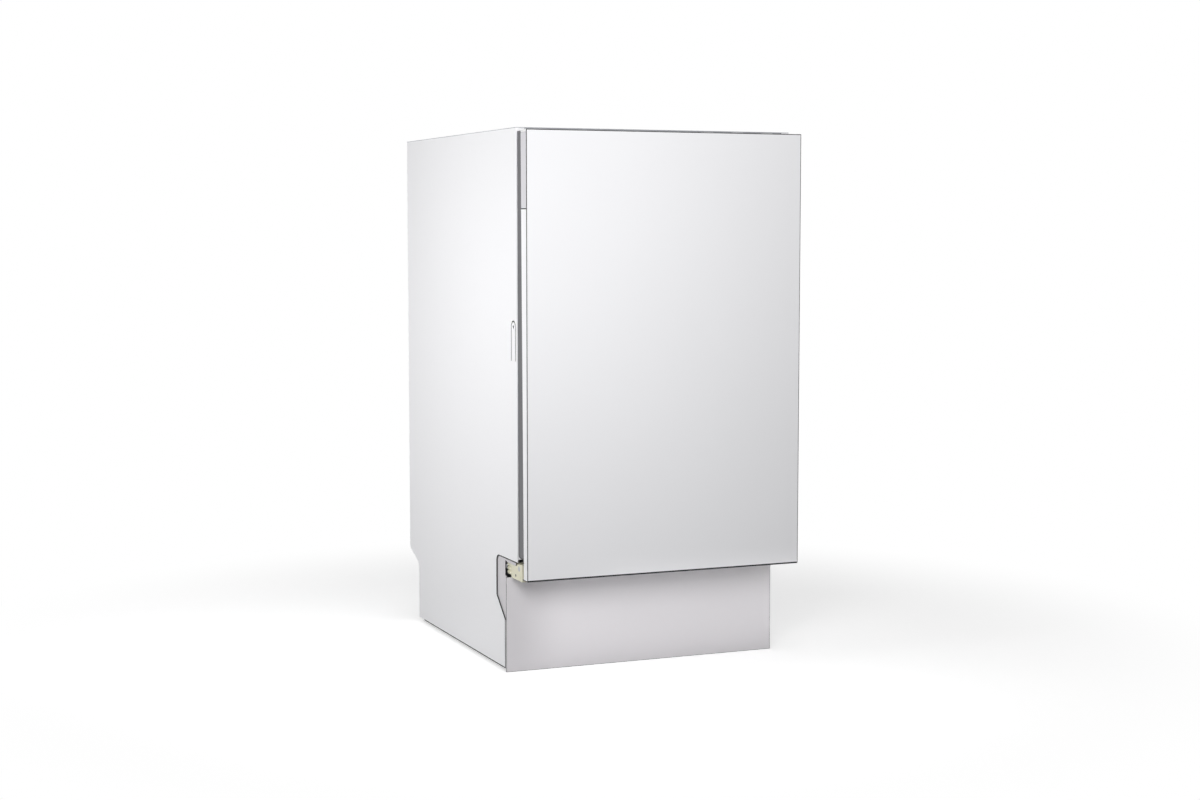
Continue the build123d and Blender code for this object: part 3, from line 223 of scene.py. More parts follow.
class DishwasherColours(bpy.types.PropertyGroup):
    """Colours of the finishes."""

    white_paint: tint("White enamel", "Side panels and door front", 244, 244, 246)
    # the plinth's light grey paint, lifted near white: partly its own colour, partly painted light that
    # makes up for the shade under the door
    kick_grey: tint("Kick plate", "Painted plinth sheet", 250, 247, 250)
    # painted shade: a darker copy of the kick plate's paint, for its flanks and the lips over the bearings
    kick_shade: tint("Kick plate ears", "Flanks of the plinth sheet", 218, 215, 218)
    housing_grey: tint("Control housing", "Moulded housing at the top of the door", 214, 213, 217)
    fascia_white: tint("Control fascia", "Strip with the push buttons", 240, 240, 240)
    # partly the satin steel's own grey, partly painted shade: the tint is set dark to the tone of the shaded
    # gap between side panel and door
    frame_grey: tint("Tub frame", "Satin sheet round the tub opening", 96, 96, 99)
    stainless: tint("Stainless", "Tub, door liner and filter plate", 196, 197, 199)
    galvanised: tint("Zinc coat", "Covers, brackets and arms", 188, 190, 194)
    rail_steel: tint("Rack rails", "Rolled rails of the upper rack", 200, 201, 203)
    seal_black: tint("Door seal", "Rubber profiles", 34, 34, 35)
    cream_plastic: tint("Hinge bearing", "Cream acetal block", 232, 229, 204)
    base_black: tint("Base plastic", "Base tray, sump and feet", 44, 44, 46)
    pump_grey: tint("Pumps", "Pump housings", 92, 95, 100)
    clear_white: tint("Water parts", "Softener, air break and valve", 226, 228, 226)
    spray_grey: tint("Wash plastic", "Spray arms, basket, wheels and filter", 132, 135, 141)
    rack_coat: tint("Rack coat", "Nylon coat of the rack wires", 172, 176, 181)
    dispenser_white: tint("Dispenser", "Dispenser body, lid and cap", 224, 224, 227)
    board_green: tint("Control board", "Solder mask", 28, 92, 52)
    # painted shade: the near-black tone given to the sheets' cut edges, bevels and rim bands stands in for
    # the shadow along them
    bare_edge: tint("Sheet edge", "Bare cut edge of the painted sheets", 34, 34, 36)
    lens_amber: tint("Indicator lens", "Unlit indicator windows", 150, 96, 44)
    floor_pale: tint("Floor", "Plain studio floor", 236, 236, 236)


class DishwasherSizes(bpy.types.PropertyGroup):
    """Sizes of the small shapes that the looks add."""

    door_edge: length("Door edge", "Rounded edge of the door front", 1.0)
    sheet_edge: length("Sheet edge", "Broken edge of the thin sheets", 0.25)
    mould_edge: length("Moulded edge", "Rounded edge of the plastic mouldings", 0.8)
    arm_edge: length("Spray arm edge", "Rounded edge of the spray arms", 3.0)
    spring_wire: length("Spring wire", "Half the thickness of the door springs' wire", 1.0)
    # half the thickness of the dark bead of painted shadow round the side panels' notch and foot
    seam: length("Seam", "Half the thickness of the sealing bead round notch and foot", 0.9)
    drip: length("Drip edge", "Half the thickness of the rubber edge under the door", 0.9)
    gasket: length("Gasket", "Half the thickness of the dispenser's gasket", 0.8)
    # width of the dark band of painted shade round the door front's face; half of it rings the kick plate's
    # front
    rim: length("Rim", "Dark line along the rim of the door front", 1.2)


class DishwasherStage(bpy.types.PropertyGroup):
    """Light and camera of the stage."""

    sky: FloatProperty(name="Sky", description="Strength of the even studio light", default=0.30, min=0)
    side_lamp: watts("Side lamp", "Soft lamp that faces the rear half of the side panel", 1.4)
    flank_lamp: watts("Flank lamp", "Soft lamp that faces the front half of the side panel", 0.6)
    upper_lamp: watts("Upper lamp", "Soft lamp that looks down on the side panel", 2.53)
    front_lamp: watts("Front lamp", "Soft lamp in front of the door's upper half", 2.58)
    high_lamp: watts("High lamp", "Soft lamp above and in front of the door", 4.55)
    low_lamp: watts("Low lamp", "Narrow strip lamp near the floor, on the kick plate", 0.042)
    lens: FloatProperty(name="Lens", description="Focal length", unit="CAMERA", default=59.67, min=1)


def colours():
    """The colours set in the scene."""
    return bpy.context.scene.dishwasher_colours


def sizes():
    """The sizes set in the scene."""
    return bpy.context.scene.dishwasher_sizes


def add(tree, kind, inputs=None, **settings):
    """A node with its settings made and its inputs linked or filled."""
    made = tree.nodes.new(kind)
    for key, value in settings.items():
        setattr(made, key, value)
    for key, value in (inputs or {}).items():
        if isinstance(value, bpy.types.NodeSocket):
            tree.links.new(value, made.inputs[key])
        else:
            made.inputs[key].default_value = value
    return made


def effect(name, inputs, outputs):
    """An empty shader group with those sockets, its input node and its output node."""
    group = bpy.data.node_groups.new(name, "ShaderNodeTree")
    for socket, kind, value in inputs:
        made = group.interface.new_socket(socket, in_out="INPUT", socket_type="NodeSocket" + kind)
        if value is not None:
            made.default_value = value
    for socket, kind in outputs:
        group.interface.new_socket(socket, in_out="OUTPUT", socket_type="NodeSocket" + kind)
    return group, group.nodes.new("NodeGroupInput"), group.nodes.new("NodeGroupOutput")


def surface_effect(name, build, pitch):
    """An effect that turns a place into a height and a mask of its variation."""
    if name in bpy.data.node_groups:
        return bpy.data.node_groups[name]
    inputs = [("Vector", "Vector", None), ("Pitch", "Float", pitch)]
    group, start, end = effect(name, inputs, [("Height", "Float"), ("Mask", "Float")])
    height, mask = build(group, start.outputs["Vector"], start.outputs["Pitch"])
    group.links.new(height, end.inputs["Height"])
    group.links.new(mask, end.inputs["Mask"])
    return group


def sprayed_ripple(tree, place, pitch):
    """Orange peel of a sprayed coat, with slow drifts in its gloss."""
    peel = add(tree, "ShaderNodeTexNoise",
               {"Vector": place, "Scale": pitch, "Detail": 2.0, "Roughness": 0.4})
    drift = add(tree, "ShaderNodeTexNoise",
                {"Vector": place, "Scale": 5.0, "Detail": 3.0, "Roughness": 0.55})
    return peel.outputs["Fac"], drift.outputs["Fac"]


def brushed_lines(tree, place, pitch):
    """Fine parallel scratches of a brushed sheet."""
    stretched = add(tree, "ShaderNodeVectorMath", {0: place, 1: (0.02, 1.0, 1.0)}, operation="MULTIPLY")
    lines = add(tree, "ShaderNodeTexNoise",
                {"Vector": stretched.outputs[0], "Scale": pitch, "Detail": 3.0, "Roughness": 0.6})
    clouds = add(tree, "ShaderNodeTexNoise", {"Vector": place, "Scale": 9.0, "Detail": 4.0})
    both = worked(tree, "MULTIPLY", lines.outputs["Fac"], clouds.outputs["Fac"])
    return lines.outputs["Fac"], worked(tree, "MULTIPLY", both, 2.0)


def moulded_grain(tree, place, pitch):
    """Spark-eroded grain of a moulding tool."""
    cells = add(tree, "ShaderNodeTexVoronoi", {"Vector": place, "Scale": pitch}, feature="SMOOTH_F1")
    blotch = add(tree, "ShaderNodeTexNoise", {"Vector": place, "Scale": 14.0, "Detail": 4.0})
    return cells.outputs["Distance"], blotch.outputs["Fac"]


def zinc_spangle(tree, place, pitch):
    """Crystal flakes of a hot-dip zinc coat."""
    bent = add(tree, "ShaderNodeTexNoise", {"Vector": place, "Scale": 60.0})
    shifted = add(tree, "ShaderNodeMix", {0: 0.004, 4: place, 5: bent.outputs["Color"]}, data_type="VECTOR")
    flakes = add(tree, "ShaderNodeTexVoronoi", {"Vector": shifted.outputs[1], "Scale": pitch})
    shade = add(tree, "ShaderNodeSeparateColor", {0: flakes.outputs["Color"]})
    return flakes.outputs["Distance"], shade.outputs[0]


def rubber_bloom(tree, place, pitch):
    """Matt skin of a rubber profile, with a pale bloom in patches."""
    skin = add(tree, "ShaderNodeTexNoise", {"Vector": place, "Scale": pitch, "Detail": 4.0})
    bloom = add(tree, "ShaderNodeTexNoise",
                {"Vector": place, "Scale": 22.0, "Detail": 5.0, "Roughness": 0.65})
    return skin.outputs["Fac"], bloom.outputs["Fac"]


# effect, pitch, bump height in mm, roughness range, metallic, how much the mask darkens the colour
FINISHES = {
    "white_paint": (sprayed_ripple, 700.0, 0.012, (0.30, 0.40), 0.0, 0.015),
    "kick_grey": (sprayed_ripple, 900.0, 0.015, (0.42, 0.52), 0.0, 0.02),
    "kick_shade": (sprayed_ripple, 900.0, 0.015, (0.42, 0.52), 0.0, 0.02),
    "housing_grey": (moulded_grain, 1400.0, 0.02, (0.40, 0.52), 0.0, 0.03),
    "fascia_white": (moulded_grain, 1600.0, 0.015, (0.34, 0.46), 0.0, 0.02),
    "frame_grey": (brushed_lines, 1800.0, 0.01, (0.30, 0.46), 0.85, 0.12),
    "stainless": (brushed_lines, 2200.0, 0.008, (0.18, 0.34), 1.0, 0.10),
    "galvanised": (zinc_spangle, 170.0, 0.006, (0.41, 0.50), 0.9, 0.07),
    "rail_steel": (brushed_lines, 1600.0, 0.008, (0.20, 0.34), 1.0, 0.10),
    "seal_black": (rubber_bloom, 900.0, 0.03, (0.58, 0.78), 0.0, 0.35),
    "cream_plastic": (moulded_grain, 1300.0, 0.012, (0.36, 0.50), 0.0, 0.05),
    "base_black": (moulded_grain, 1000.0, 0.03, (0.46, 0.66), 0.0, 0.22),
    "pump_grey": (moulded_grain, 1000.0, 0.025, (0.42, 0.60), 0.0, 0.12),
    "clear_white": (moulded_grain, 700.0, 0.012, (0.24, 0.38), 0.0, 0.05),
    "spray_grey": (moulded_grain, 1100.0, 0.02, (0.38, 0.52), 0.0, 0.08),
    "rack_coat": (rubber_bloom, 500.0, 0.02, (0.30, 0.44), 0.0, 0.08),
    "dispenser_white": (moulded_grain, 1200.0, 0.015, (0.34, 0.48), 0.0, 0.04),
    "board_green": (moulded_grain, 500.0, 0.01, (0.26, 0.40), 0.0, 0.25),
    "bare_edge": (brushed_lines, 1500.0, 0.006, (0.55, 0.70), 0.0, 0.25),
    "lens_amber": (moulded_grain, 600.0, 0.005, (0.08, 0.16), 0.0, 0.10),
}

# specular level of the finishes that don't have the usual one
SPECULAR = {"white_paint": 0.9, "kick_grey": 0.3, "kick_shade": 0.3}
USUAL_SPECULAR = 0.5
BUMP_STRENGTH = 0.6

# values of the mask between which the roughness changes
MASK_LOW = 0.25
MASK_HIGH = 0.75


def finish(slot):
    """The procedural material of a finish, made once."""
    if slot in bpy.data.materials and bpy.data.materials[slot].get("dressed"):
        return bpy.data.materials[slot]
    build, pitch, bump_height, rough, metallic, depth = FINISHES[slot]
    taken = bpy.data.materials.get(slot)
    if taken:
        taken.name = slot + "_plain"
    made = bpy.data.materials.new(slot)
    made["dressed"] = True
    made.use_nodes = True
    tree = made.node_tree
    tree.nodes.clear()
    colour = list(getattr(colours(), slot))
    place = add(tree, "ShaderNodeTexCoord")
    group = add(tree, "ShaderNodeGroup", node_tree=surface_effect(build.__name__, build, pitch))
    tree.links.new(place.outputs["Object"], group.inputs["Vector"])
    group.inputs["Pitch"].default_value = pitch
    mask = group.outputs["Mask"]
    dark = [value * (1 - depth) for value in colour]
    shade = add(tree, "ShaderNodeMix", {0: mask, 6: (*dark, 1), 7: (*colour, 1)}, data_type="RGBA")
    gloss = add(tree, "ShaderNodeMapRange", {
        "Value": mask, "From Min": MASK_LOW, "From Max": MASK_HIGH, "To Min": rough[0], "To Max": rough[1]})
    bump = add(tree, "ShaderNodeBump", {
        "Strength": BUMP_STRENGTH, "Distance": bump_height * MM, "Height": group.outputs["Height"]})
    paint = add(tree, "ShaderNodeBsdfPrincipled", {
        "Base Color": shade.outputs[2], "Roughness": gloss.outputs[0], "Metallic": metallic,
        "Specular IOR Level": SPECULAR.get(slot, USUAL_SPECULAR), "Normal": bump.outputs[0]})
    add(tree, "ShaderNodeOutputMaterial", {"Surface": paint.outputs[0]})
    return made


def body_of(node):
    """The CAD body that a node rides on."""
    return NODES[node]["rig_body"]


def slot_of(node):
    """The record's material slot of a node."""
    rows = frame["record"]["subparts"]
    return next(row["material_slot"] for row in rows if row["node"] == node)


def joined_copy(node):
    """A CAD node's mesh with its loose triangles joined into whole faces."""
    edit = bmesh.new()
    edit.from_mesh(NODES[node].data)
    bmesh.ops.remove_doubles(edit, verts=edit.verts, dist=TWIN_GAP)
    bmesh.ops.dissolve_limit(edit, angle_limit=math.radians(FLAT_BEND), verts=edit.verts, edges=edit.edges)
    return edit


def linked(name, mesh):
    """A new object in the scene."""
    made = bpy.data.objects.new(name, mesh)
    bpy.context.scene.collection.objects.link(made)
    return made


def plain_mesh(work, name):
    """The evaluated mesh of a working object, which is then removed."""
    view = bpy.context.evaluated_depsgraph_get()
    ready = work.evaluated_get(view)
    mesh = bpy.data.meshes.new_from_object(ready, preserve_all_data_layers=True, depsgraph=view)
    mesh.name = name
    rough = work.data
    bpy.data.objects.remove(work)
    bpy.data.meshes.remove(rough)
    return mesh


def settle(name, mesh, body, slot, *stands_for):
    """Puts a finished mesh on its CAD body, in place of the nodes it stands for."""
    piece = linked(name, mesh)
    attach(piece, body)
    if stands_for:
        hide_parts(*stands_for)


def narrow(face, sheet):
    """True for the cut edge of a sheet, which is about as wide as the sheet is thick."""
    rim = sum(edge.calc_length() for edge in face.edges)
    return 2 * face.calc_area() / rim < sheet


def cut_edges(edit, sheet):
    """The faces along the cut edges of a sheet, without the slivers that lie flat in its broad faces."""
    slim = {face for face in edit.faces if narrow(face, sheet)}
    flat = set(edit.faces) - slim
    while flat:
        flat = {face for face in slim for edge in face.edges for other in edge.link_faces
                if other in flat and other.normal.dot(face.normal) > FLUSH}
        slim -= flat
    return slim


def softened(node, width, edge=None, cut_sheet=0.0, painted_shade_band=0.0, flanks=None):
    """A copy of a node with rounded edges, whose edges, a band round its front face and flanks may take
    darker finishes of painted shade.
    """
    edit = joined_copy(node)
    cut = cut_edges(edit, cut_sheet)
    for face in edit.faces:
        face.smooth = True
        face.material_index = 1 if face in cut else 0
        if flanks and abs(face.normal.x) > SQUARE and not face.material_index:
            face.material_index = 2
    if painted_shade_band:
        ahead = [face for face in edit.faces if face.normal.y < -SQUARE]
        front = max(ahead, key=lambda face: face.calc_area())
        rim = bmesh.ops.inset_individual(edit, faces=[front], thickness=painted_shade_band, use_even_offset=True)
        for face in rim["faces"]:
            face.material_index = 1
    mesh = bpy.data.meshes.new(node + "_rough")
    edit.to_mesh(mesh)
    edit.free()
    mesh.materials.append(finish(slot_of(node)))
    for extra in (edge, flanks):
        if extra:
            mesh.materials.append(finish(extra))
    work = linked(node + "_rough", mesh)
    round_off = work.modifiers.new("round_off", "BEVEL")
    round_off.width = width
    round_off.segments = ROUND_STEPS
    round_off.limit_method = "ANGLE"
    round_off.angle_limit = math.radians(ROUND_BEND)
    round_off.material = 1 if edge and not cut_sheet else -1
    even = work.modifiers.new("even", "WEIGHTED_NORMAL")
    even.keep_sharp = True
    settle(node + "_skin", plain_mesh(work, node + "_skin"), body_of(node), slot_of(node), node)


def growth(grow, labels):
    """The geometry tree of one shape, from its named inputs to real geometry with its finish."""
    if grow.__name__ in bpy.data.node_groups:
        return bpy.data.node_groups[grow.__name__]
    tree = bpy.data.node_groups.new(grow.__name__, "GeometryNodeTree")
    face = tree.interface
    face.new_socket("Geometry", in_out="INPUT", socket_type="NodeSocketGeometry")
    for label in labels:
        face.new_socket(label, in_out="INPUT", socket_type="NodeSocketFloat")
    face.new_socket("Finish", in_out="INPUT", socket_type="NodeSocketMaterial")
    face.new_socket("Geometry", in_out="OUTPUT", socket_type="NodeSocketGeometry")
    start = tree.nodes.new("NodeGroupInput")
    end = tree.nodes.new("NodeGroupOutput")
    real = add(tree, "GeometryNodeRealizeInstances", {"Geometry": grow(tree, start.outputs)})
    coated = add(tree, "GeometryNodeSetMaterial",
                 {"Geometry": real.outputs[0], "Material": start.outputs["Finish"]})
    tree.links.new(coated.outputs[0], end.inputs[0])
    return tree


def spot(place, facing, along=None, size=1.0):
    """A place for a repeated shape: its Z turned to a way, its X to another, and its scale."""
    along = Vector(facing).orthogonal() if along is None else along
    return place, facing, along, (size, size, size) if isinstance(size, float) else size


def grown(name, grow, slot, spots, edges=(), **values):
    """The mesh that a geometry tree makes at some spots, or along the edges between them."""
    tree = growth(grow, values)
    seed = bpy.data.meshes.new(name + "_seed")
    seed.from_pydata([row[0] for row in spots], edges, [])
    for column, label in enumerate(("facing", "along", "size"), start=1):
        marks = seed.attributes.new(label, "FLOAT_VECTOR", "POINT")
        marks.data.foreach_set("vector", [value for row in spots for value in row[column]])
    work = linked(name + "_seed", seed)
    run = work.modifiers.new(tree.name, "NODES")
    run.node_group = tree
    values["Finish"] = finish(slot)
    for item in tree.interface.items_tree:
        if item.in_out == "INPUT" and item.name in values:
            run[item.identifier] = values[item.name]
    mesh = plain_mesh(work, name)
    mesh.shade_smooth()
    mesh.set_sharp_from_angle(angle=math.radians(CRISP))
    for label in ("facing", "along", "size"):
        if label in mesh.attributes:
            mesh.attributes.remove(mesh.attributes[label])
    return mesh


def fitted(name, node, slot, grow, spots, edges=(), stands_for=(), **values):
    """Grows a shape in a finish and settles it on a node's body."""
    mesh = grown(name, grow, slot, spots, edges, **values)
    settle(name, mesh, body_of(node), slot, *stands_for)


def repeated(tree, starts, shape):
    """Puts a shape at every spot."""
    facing, along, size = (
        add(tree, "GeometryNodeInputNamedAttribute", {"Name": label}, data_type="FLOAT_VECTOR").outputs[0]
        for label in ("facing", "along", "size"))
    turn = add(tree, "FunctionNodeAlignRotationToVector", {"Vector": facing}, axis="Z")
    turn = add(tree, "FunctionNodeAlignRotationToVector", {"Rotation": turn.outputs[0], "Vector": along},
               axis="X", pivot_axis="Z")
    copies = add(tree, "GeometryNodeInstanceOnPoints", {
        "Points": starts["Geometry"], "Instance": shape, "Rotation": turn.outputs[0], "Scale": size})
    return copies.outputs[0]


def combined(tree, x, y, z):
    """A vector from three values."""
    return add(tree, "ShaderNodeCombineXYZ", {0: x, 1: y, 2: z}).outputs[0]


def worked(tree, operation, first, second=0.0):
    """The result of a sum on one or two values."""
    return add(tree, "ShaderNodeMath", {0: first, 1: second}, operation=operation).outputs[0]


def moved(tree, shape, **how):
    """A shape moved, turned or scaled."""
    return add(tree, "GeometryNodeTransform", {"Geometry": shape, **how}).outputs[0]


def round_wire(tree, path, radius):
    """A wire of round section along a path."""
    section = add(tree, "GeometryNodeCurvePrimitiveCircle", {"Resolution": WIRE_SIDES, "Radius": radius})
    return add(tree, "GeometryNodeCurveToMesh", {
        "Curve": path, "Profile Curve": section.outputs[0], "Fill Caps": True}).outputs[0]


def screw_head(tree, starts):
    """Pan head with a cross recess, on its shank."""
    head, tall = starts["Head"], starts["Tall"]
    ball = add(tree, "GeometryNodeMeshUVSphere", {"Segments": 20, "Rings": 10})
    dome = moved(tree, ball.outputs[0], Scale=combined(tree, head, head, tall))
    long = worked(tree, "MULTIPLY", head, RECESS_LONG)
    slim = worked(tree, "MULTIPLY", head, RECESS_WIDE)
    lift = combined(tree, 0.0, 0.0, tall)
    for sides in ((long, slim), (slim, long)):
        bar = add(tree, "GeometryNodeMeshCube", {"Size": combined(tree, *sides, tall)})
        recess = moved(tree, bar.outputs[0], Translation=lift)
        cut = add(tree, "GeometryNodeMeshBoolean",
                  {"Mesh 1": dome, "Mesh 2": recess}, operation="DIFFERENCE")
        dome = cut.outputs[0]
    shank = add(tree, "GeometryNodeMeshCylinder", {
        "Vertices": 10, "Radius": worked(tree, "MULTIPLY", head, SHANK), "Depth": starts["Long"]})
    sunk = combined(tree, 0.0, 0.0, worked(tree, "MULTIPLY", starts["Long"], -0.5))
    both = add(tree, "GeometryNodeJoinGeometry", {0: dome})
    tree.links.new(moved(tree, shank.outputs[0], Translation=sunk), both.inputs[0])
    return repeated(tree, starts, both.outputs[0])


def wound_wire(tree, starts):
    """Wire wound in a helix that rises from its spot."""
    helix = add(tree, "GeometryNodeCurveSpiral", {
        "Resolution": 18, "Rotations": starts["Turns"], "Start Radius": starts["Coil"],
        "End Radius": starts["Coil"], "Height": starts["Long"]})
    return repeated(tree, starts, round_wire(tree, helix.outputs[0], starts["Wire"]))


def round_tip(tree, starts):
    """Rounded tip."""
    ball = add(tree, "GeometryNodeMeshUVSphere", {"Segments": 10, "Rings": 6, "Radius": starts["Radius"]})
    return repeated(tree, starts, ball.outputs[0])


def ring_bead(tree, starts):
    """Round bead that lies flat at its spot."""
    circle = add(tree, "GeometryNodeCurvePrimitiveCircle", {"Resolution": 28, "Radius": starts["Ring"]})
    return repeated(tree, starts, round_wire(tree, circle.outputs[0], starts["Bead"]))


def pressed_rib(tree, starts):
    """Long rib with rounded ends that runs along X and rises along Z."""
    ball = add(tree, "GeometryNodeMeshUVSphere", {"Segments": 12, "Rings": 8})
    wide = starts["Wide"]
    lens = moved(tree, ball.outputs[0], Scale=combined(tree, starts["Tall"], wide, wide))
    place = add(tree, "GeometryNodeInputPosition").outputs[0]
    height = add(tree, "ShaderNodeSeparateXYZ", {0: place}).outputs[2]
    half = worked(tree, "SUBTRACT", worked(tree, "MULTIPLY", starts["Long"], 0.5), wide)
    pull = worked(tree, "MULTIPLY", worked(tree, "SIGN", height), half)
    offset = combined(tree, 0.0, 0.0, pull)
    drawn = add(tree, "GeometryNodeSetPosition", {"Geometry": lens, "Offset": offset})
    laid = moved(tree, drawn.outputs[0], Rotation=(0.0, math.pi / 2, 0.0))
    return repeated(tree, starts, laid)


def laid_bead(tree, starts):
    """Round bead laid along the seed's edges."""
    path = add(tree, "GeometryNodeMeshToCurve", {"Mesh": starts["Geometry"]})
    return round_wire(tree, path.outputs[0], starts["Bead"])


def span(node):
    """The lowest and highest corner of a CAD node."""
    corners = [Vector(corner) for corner in NODES[node].bound_box]
    return [Vector([pick(corner[axis] for corner in corners) for axis in range(3)]) for pick in (min, max)]


def touch(node, start, way, along=None, size=1.0):
    """A spot where a straight line first meets a CAD node, facing out of its surface."""
    edit = bmesh.new()
    edit.from_mesh(NODES[node].data)
    place, normal, _, _ = BVHTree.FromBMesh(edit).ray_cast(Vector(start), Vector(way))
    edit.free()
    if place is None:
        raise ValueError(f"no surface of {node} along the line from {start}")
    return spot(place, normal, along, size)


def islands(node):
    """The vertices of each loose part of a CAD node."""
    edit = joined_copy(node)
    seen = set()
    found = []
    for first in edit.verts:
        front = [first] if first not in seen else []
        part = []
        while front:
            vert = front.pop()
            if vert not in seen:
                seen.add(vert)
                part.append(vert.co.copy())
                front += [edge.other_vert(vert) for edge in vert.link_edges]
        if part:
            found.append(part)
    edit.free()
    return found


def wire_ends(node, thickest):
    """A rounded tip's spot for every flat wire end of a CAD node."""
    edit = joined_copy(node)
    limit = math.pi * thickest ** 2
    spots = []
    for face in edit.faces:
        if len(face.edges) > MANY_EDGES and face.calc_area() < limit:
            radius = math.sqrt(face.calc_area() / math.pi)
            spots.append(spot(face.calc_center_median(), face.normal.copy(), None, radius / MM))
    edit.free()
    return spots


def around(middle, radius, axis, count):
    """Spots round an axis, each facing outward and running along the axis."""
    axis = Vector(axis)
    first = axis.orthogonal().normalized()
    second = axis.cross(first)
    spots = []
    for i in range(count):
        turn = 2 * math.pi * i / count
        out = first * math.cos(turn) + second * math.sin(turn)
        spots.append(spot(Vector(middle) + out * radius, out, axis))
    return spots


class DISHWASHER_OT_finishes(bpy.types.Operator):
    """Gives every CAD node the procedural finish of its material slot"""

    bl_idname = "dishwasher.finishes"
    bl_label = "Finishes"

    def execute(self, context):
        for name, node in NODES.items():
            node.data.materials.clear()
            node.data.materials.append(finish(slot_of(name)))
        return {"FINISHED"}


class DISHWASHER_OT_cabinet(bpy.types.Operator):
    """Side panels, covers, hinge parts, rails and kick plate with broken edges; painted shade on the cut
    edges of side panels and kick plate
    """

    bl_idname = "dishwasher.cabinet"
    bl_label = "Cabinet sheets"

    def execute(self, context):
        thin = sizes().sheet_edge
        for side, _ in SIDES:
            # the side panels' cut edges take the dark edge finish, painted shade along their outline
            softened("side_panel_" + side, thin, "bare_edge", CUT_EDGE)
            softened("hinge_bracket_" + side, thin)
            softened("hinge_bearing_" + side, sizes().mould_edge)
            softened("hinge_arm_" + side, thin)
            softened("rack_rail_" + side, thin)
        for node in ("top_cover", "front_top_rail", "rear_panel", "tub_front_frame", "door_liner",
                     "latch_striker"):
            softened(node, thin)
        # the kick plate's cut edges and a band round its front take the dark edge finish, its flanks the
        # darker copy of its paint: painted shade
        softened("kick_plate", thin, "bare_edge", CUT_EDGE, painted_shade_band=sizes().rim / 2, flanks="kick_shade")
        return {"FINISHED"}


class DISHWASHER_OT_door(bpy.types.Operator):
    """Door front, control housing and fascia with rounded edges, painted shade round the door front's rim,
    and the rubber edge under the door
    """

    bl_idname = "dishwasher.door"
    bl_label = "Door"

    def execute(self, context):
        # the door front's rounded edges and a band round its face take the dark edge finish: painted shade
        # outlining the door
        softened("door_front_panel", sizes().door_edge, "bare_edge", painted_shade_band=sizes().rim)
        softened("control_housing", sizes().mould_edge)
        softened("control_fascia", sizes().mould_edge)
        low, high = span("door_front_panel")
        drip = sizes().drip
        level = low.z - drip / 2
        corners = [spot((x, y, level), (0, 0, -1)) for x, y in (
            (low.x + drip, high.y - 2 * drip), (low.x + drip, low.y + drip),
            (high.x - drip, low.y + drip), (high.x - drip, high.y - 2 * drip))]
        fitted("door_drip", "door_front_panel", "seal_black", laid_bead, corners, [(0, 1), (1, 2), (2, 3)],
               Bead=drip)
        return {"FINISHED"}


class DISHWASHER_OT_fixings(bpy.types.Operator):
    """Rear screws with cross recesses and the wound door springs"""

    bl_idname = "dishwasher.fixings"
    bl_label = "Screws and springs"

    def execute(self, context):
        spots = []
        for part in islands("cabinet_screws"):
            low, high = ([pick(place[axis] for place in part) for axis in range(3)] for pick in (min, max))
            middle = ((low[0] + high[0]) / 2, high[1] - MM, (low[2] + high[2]) / 2)
            spots.append(spot(middle, (0, 1, 0), (1, 0, 0)))
        fitted("rear_screws", "cabinet_screws", "galvanised", screw_head, spots, (), ("cabinet_screws",),
               Head=4 * MM, Tall=0.95 * MM, Long=5 * MM)
        wire = sizes().spring_wire
        for side, _ in SIDES:
            node = "door_spring_" + side
            low, high = span(node)
            start = ((low.x + high.x) / 2, low.y + wire, (low.z + high.z) / 2)
            long = high.y - low.y - 2 * wire
            fitted(node + "_coil", node, "galvanised", wound_wire, [spot(start, (0, 1, 0))], (), (node,),
                   Coil=(high.z - low.z) / 2 - wire, Wire=wire, Long=long, Turns=long / (COIL_PITCH * wire))
        return {"FINISHED"}


def lip(side, outer, deep, back):
    """The kick plate's lip over a hinge bearing: a strip of sheet with a rounded nose, its faces and cut
    edges in painted shade.
    """
    edit = bmesh.new()
    ring = [(back, LIP_TOP), (back, LIP_LOW)]
    for turn in range(0, 91, 15):
        angle = math.radians(turn)
        y = LIP_FRONT + LIP_NOSE * (1 - math.sin(angle))
        ring.append((y, LIP_LOW + LIP_NOSE * (1 - math.cos(angle))))
    ring.append((LIP_FRONT, LIP_TOP))
    near, far = ([edit.verts.new((x, y, z)) for y, z in ring] for x in (outer, outer + deep))
    edit.faces.new(near)
    edit.faces.new(far)
    for i in range(len(ring)):
        edit.faces.new((near[i - 1], near[i], far[i], far[i - 1]))
    bmesh.ops.recalc_face_normals(edit, faces=edit.faces)
    for face in edit.faces:
        face.material_index = 0 if abs(face.normal.x) > SQUARE else 1
    mesh = bpy.data.meshes.new("kick_lip_" + side)
    edit.to_mesh(mesh)
    edit.free()
    # the lip's flat faces take the kick plate's darker copy, its edges the dark edge finish: painted shade
    for slot in ("kick_shade", "bare_edge"):
        mesh.materials.append(finish(slot))
    settle("kick_lip_" + side, mesh, body_of("kick_plate"), slot_of("kick_plate"))


def rim_edges(node, outer, notch_top):
    """The ends of each edge round the notch, the toe and the foot of a side panel's outer face."""
    edit = joined_copy(node)
    foot = span(node)[0].z + MM
    found = []
    for edge in edit.edges:
        here, there = (vert.co.copy() for vert in edge.verts)
        skins = sum(abs(face.calc_center_median().x - outer) < SKIN_GAP for face in edge.link_faces)
        limit = notch_top if max(here.y, there.y) < NOTCH_REAR else foot
        if skins == 1 and max(here.z, there.z) < limit:
            found.append((here, there))
    edit.free()
    return found


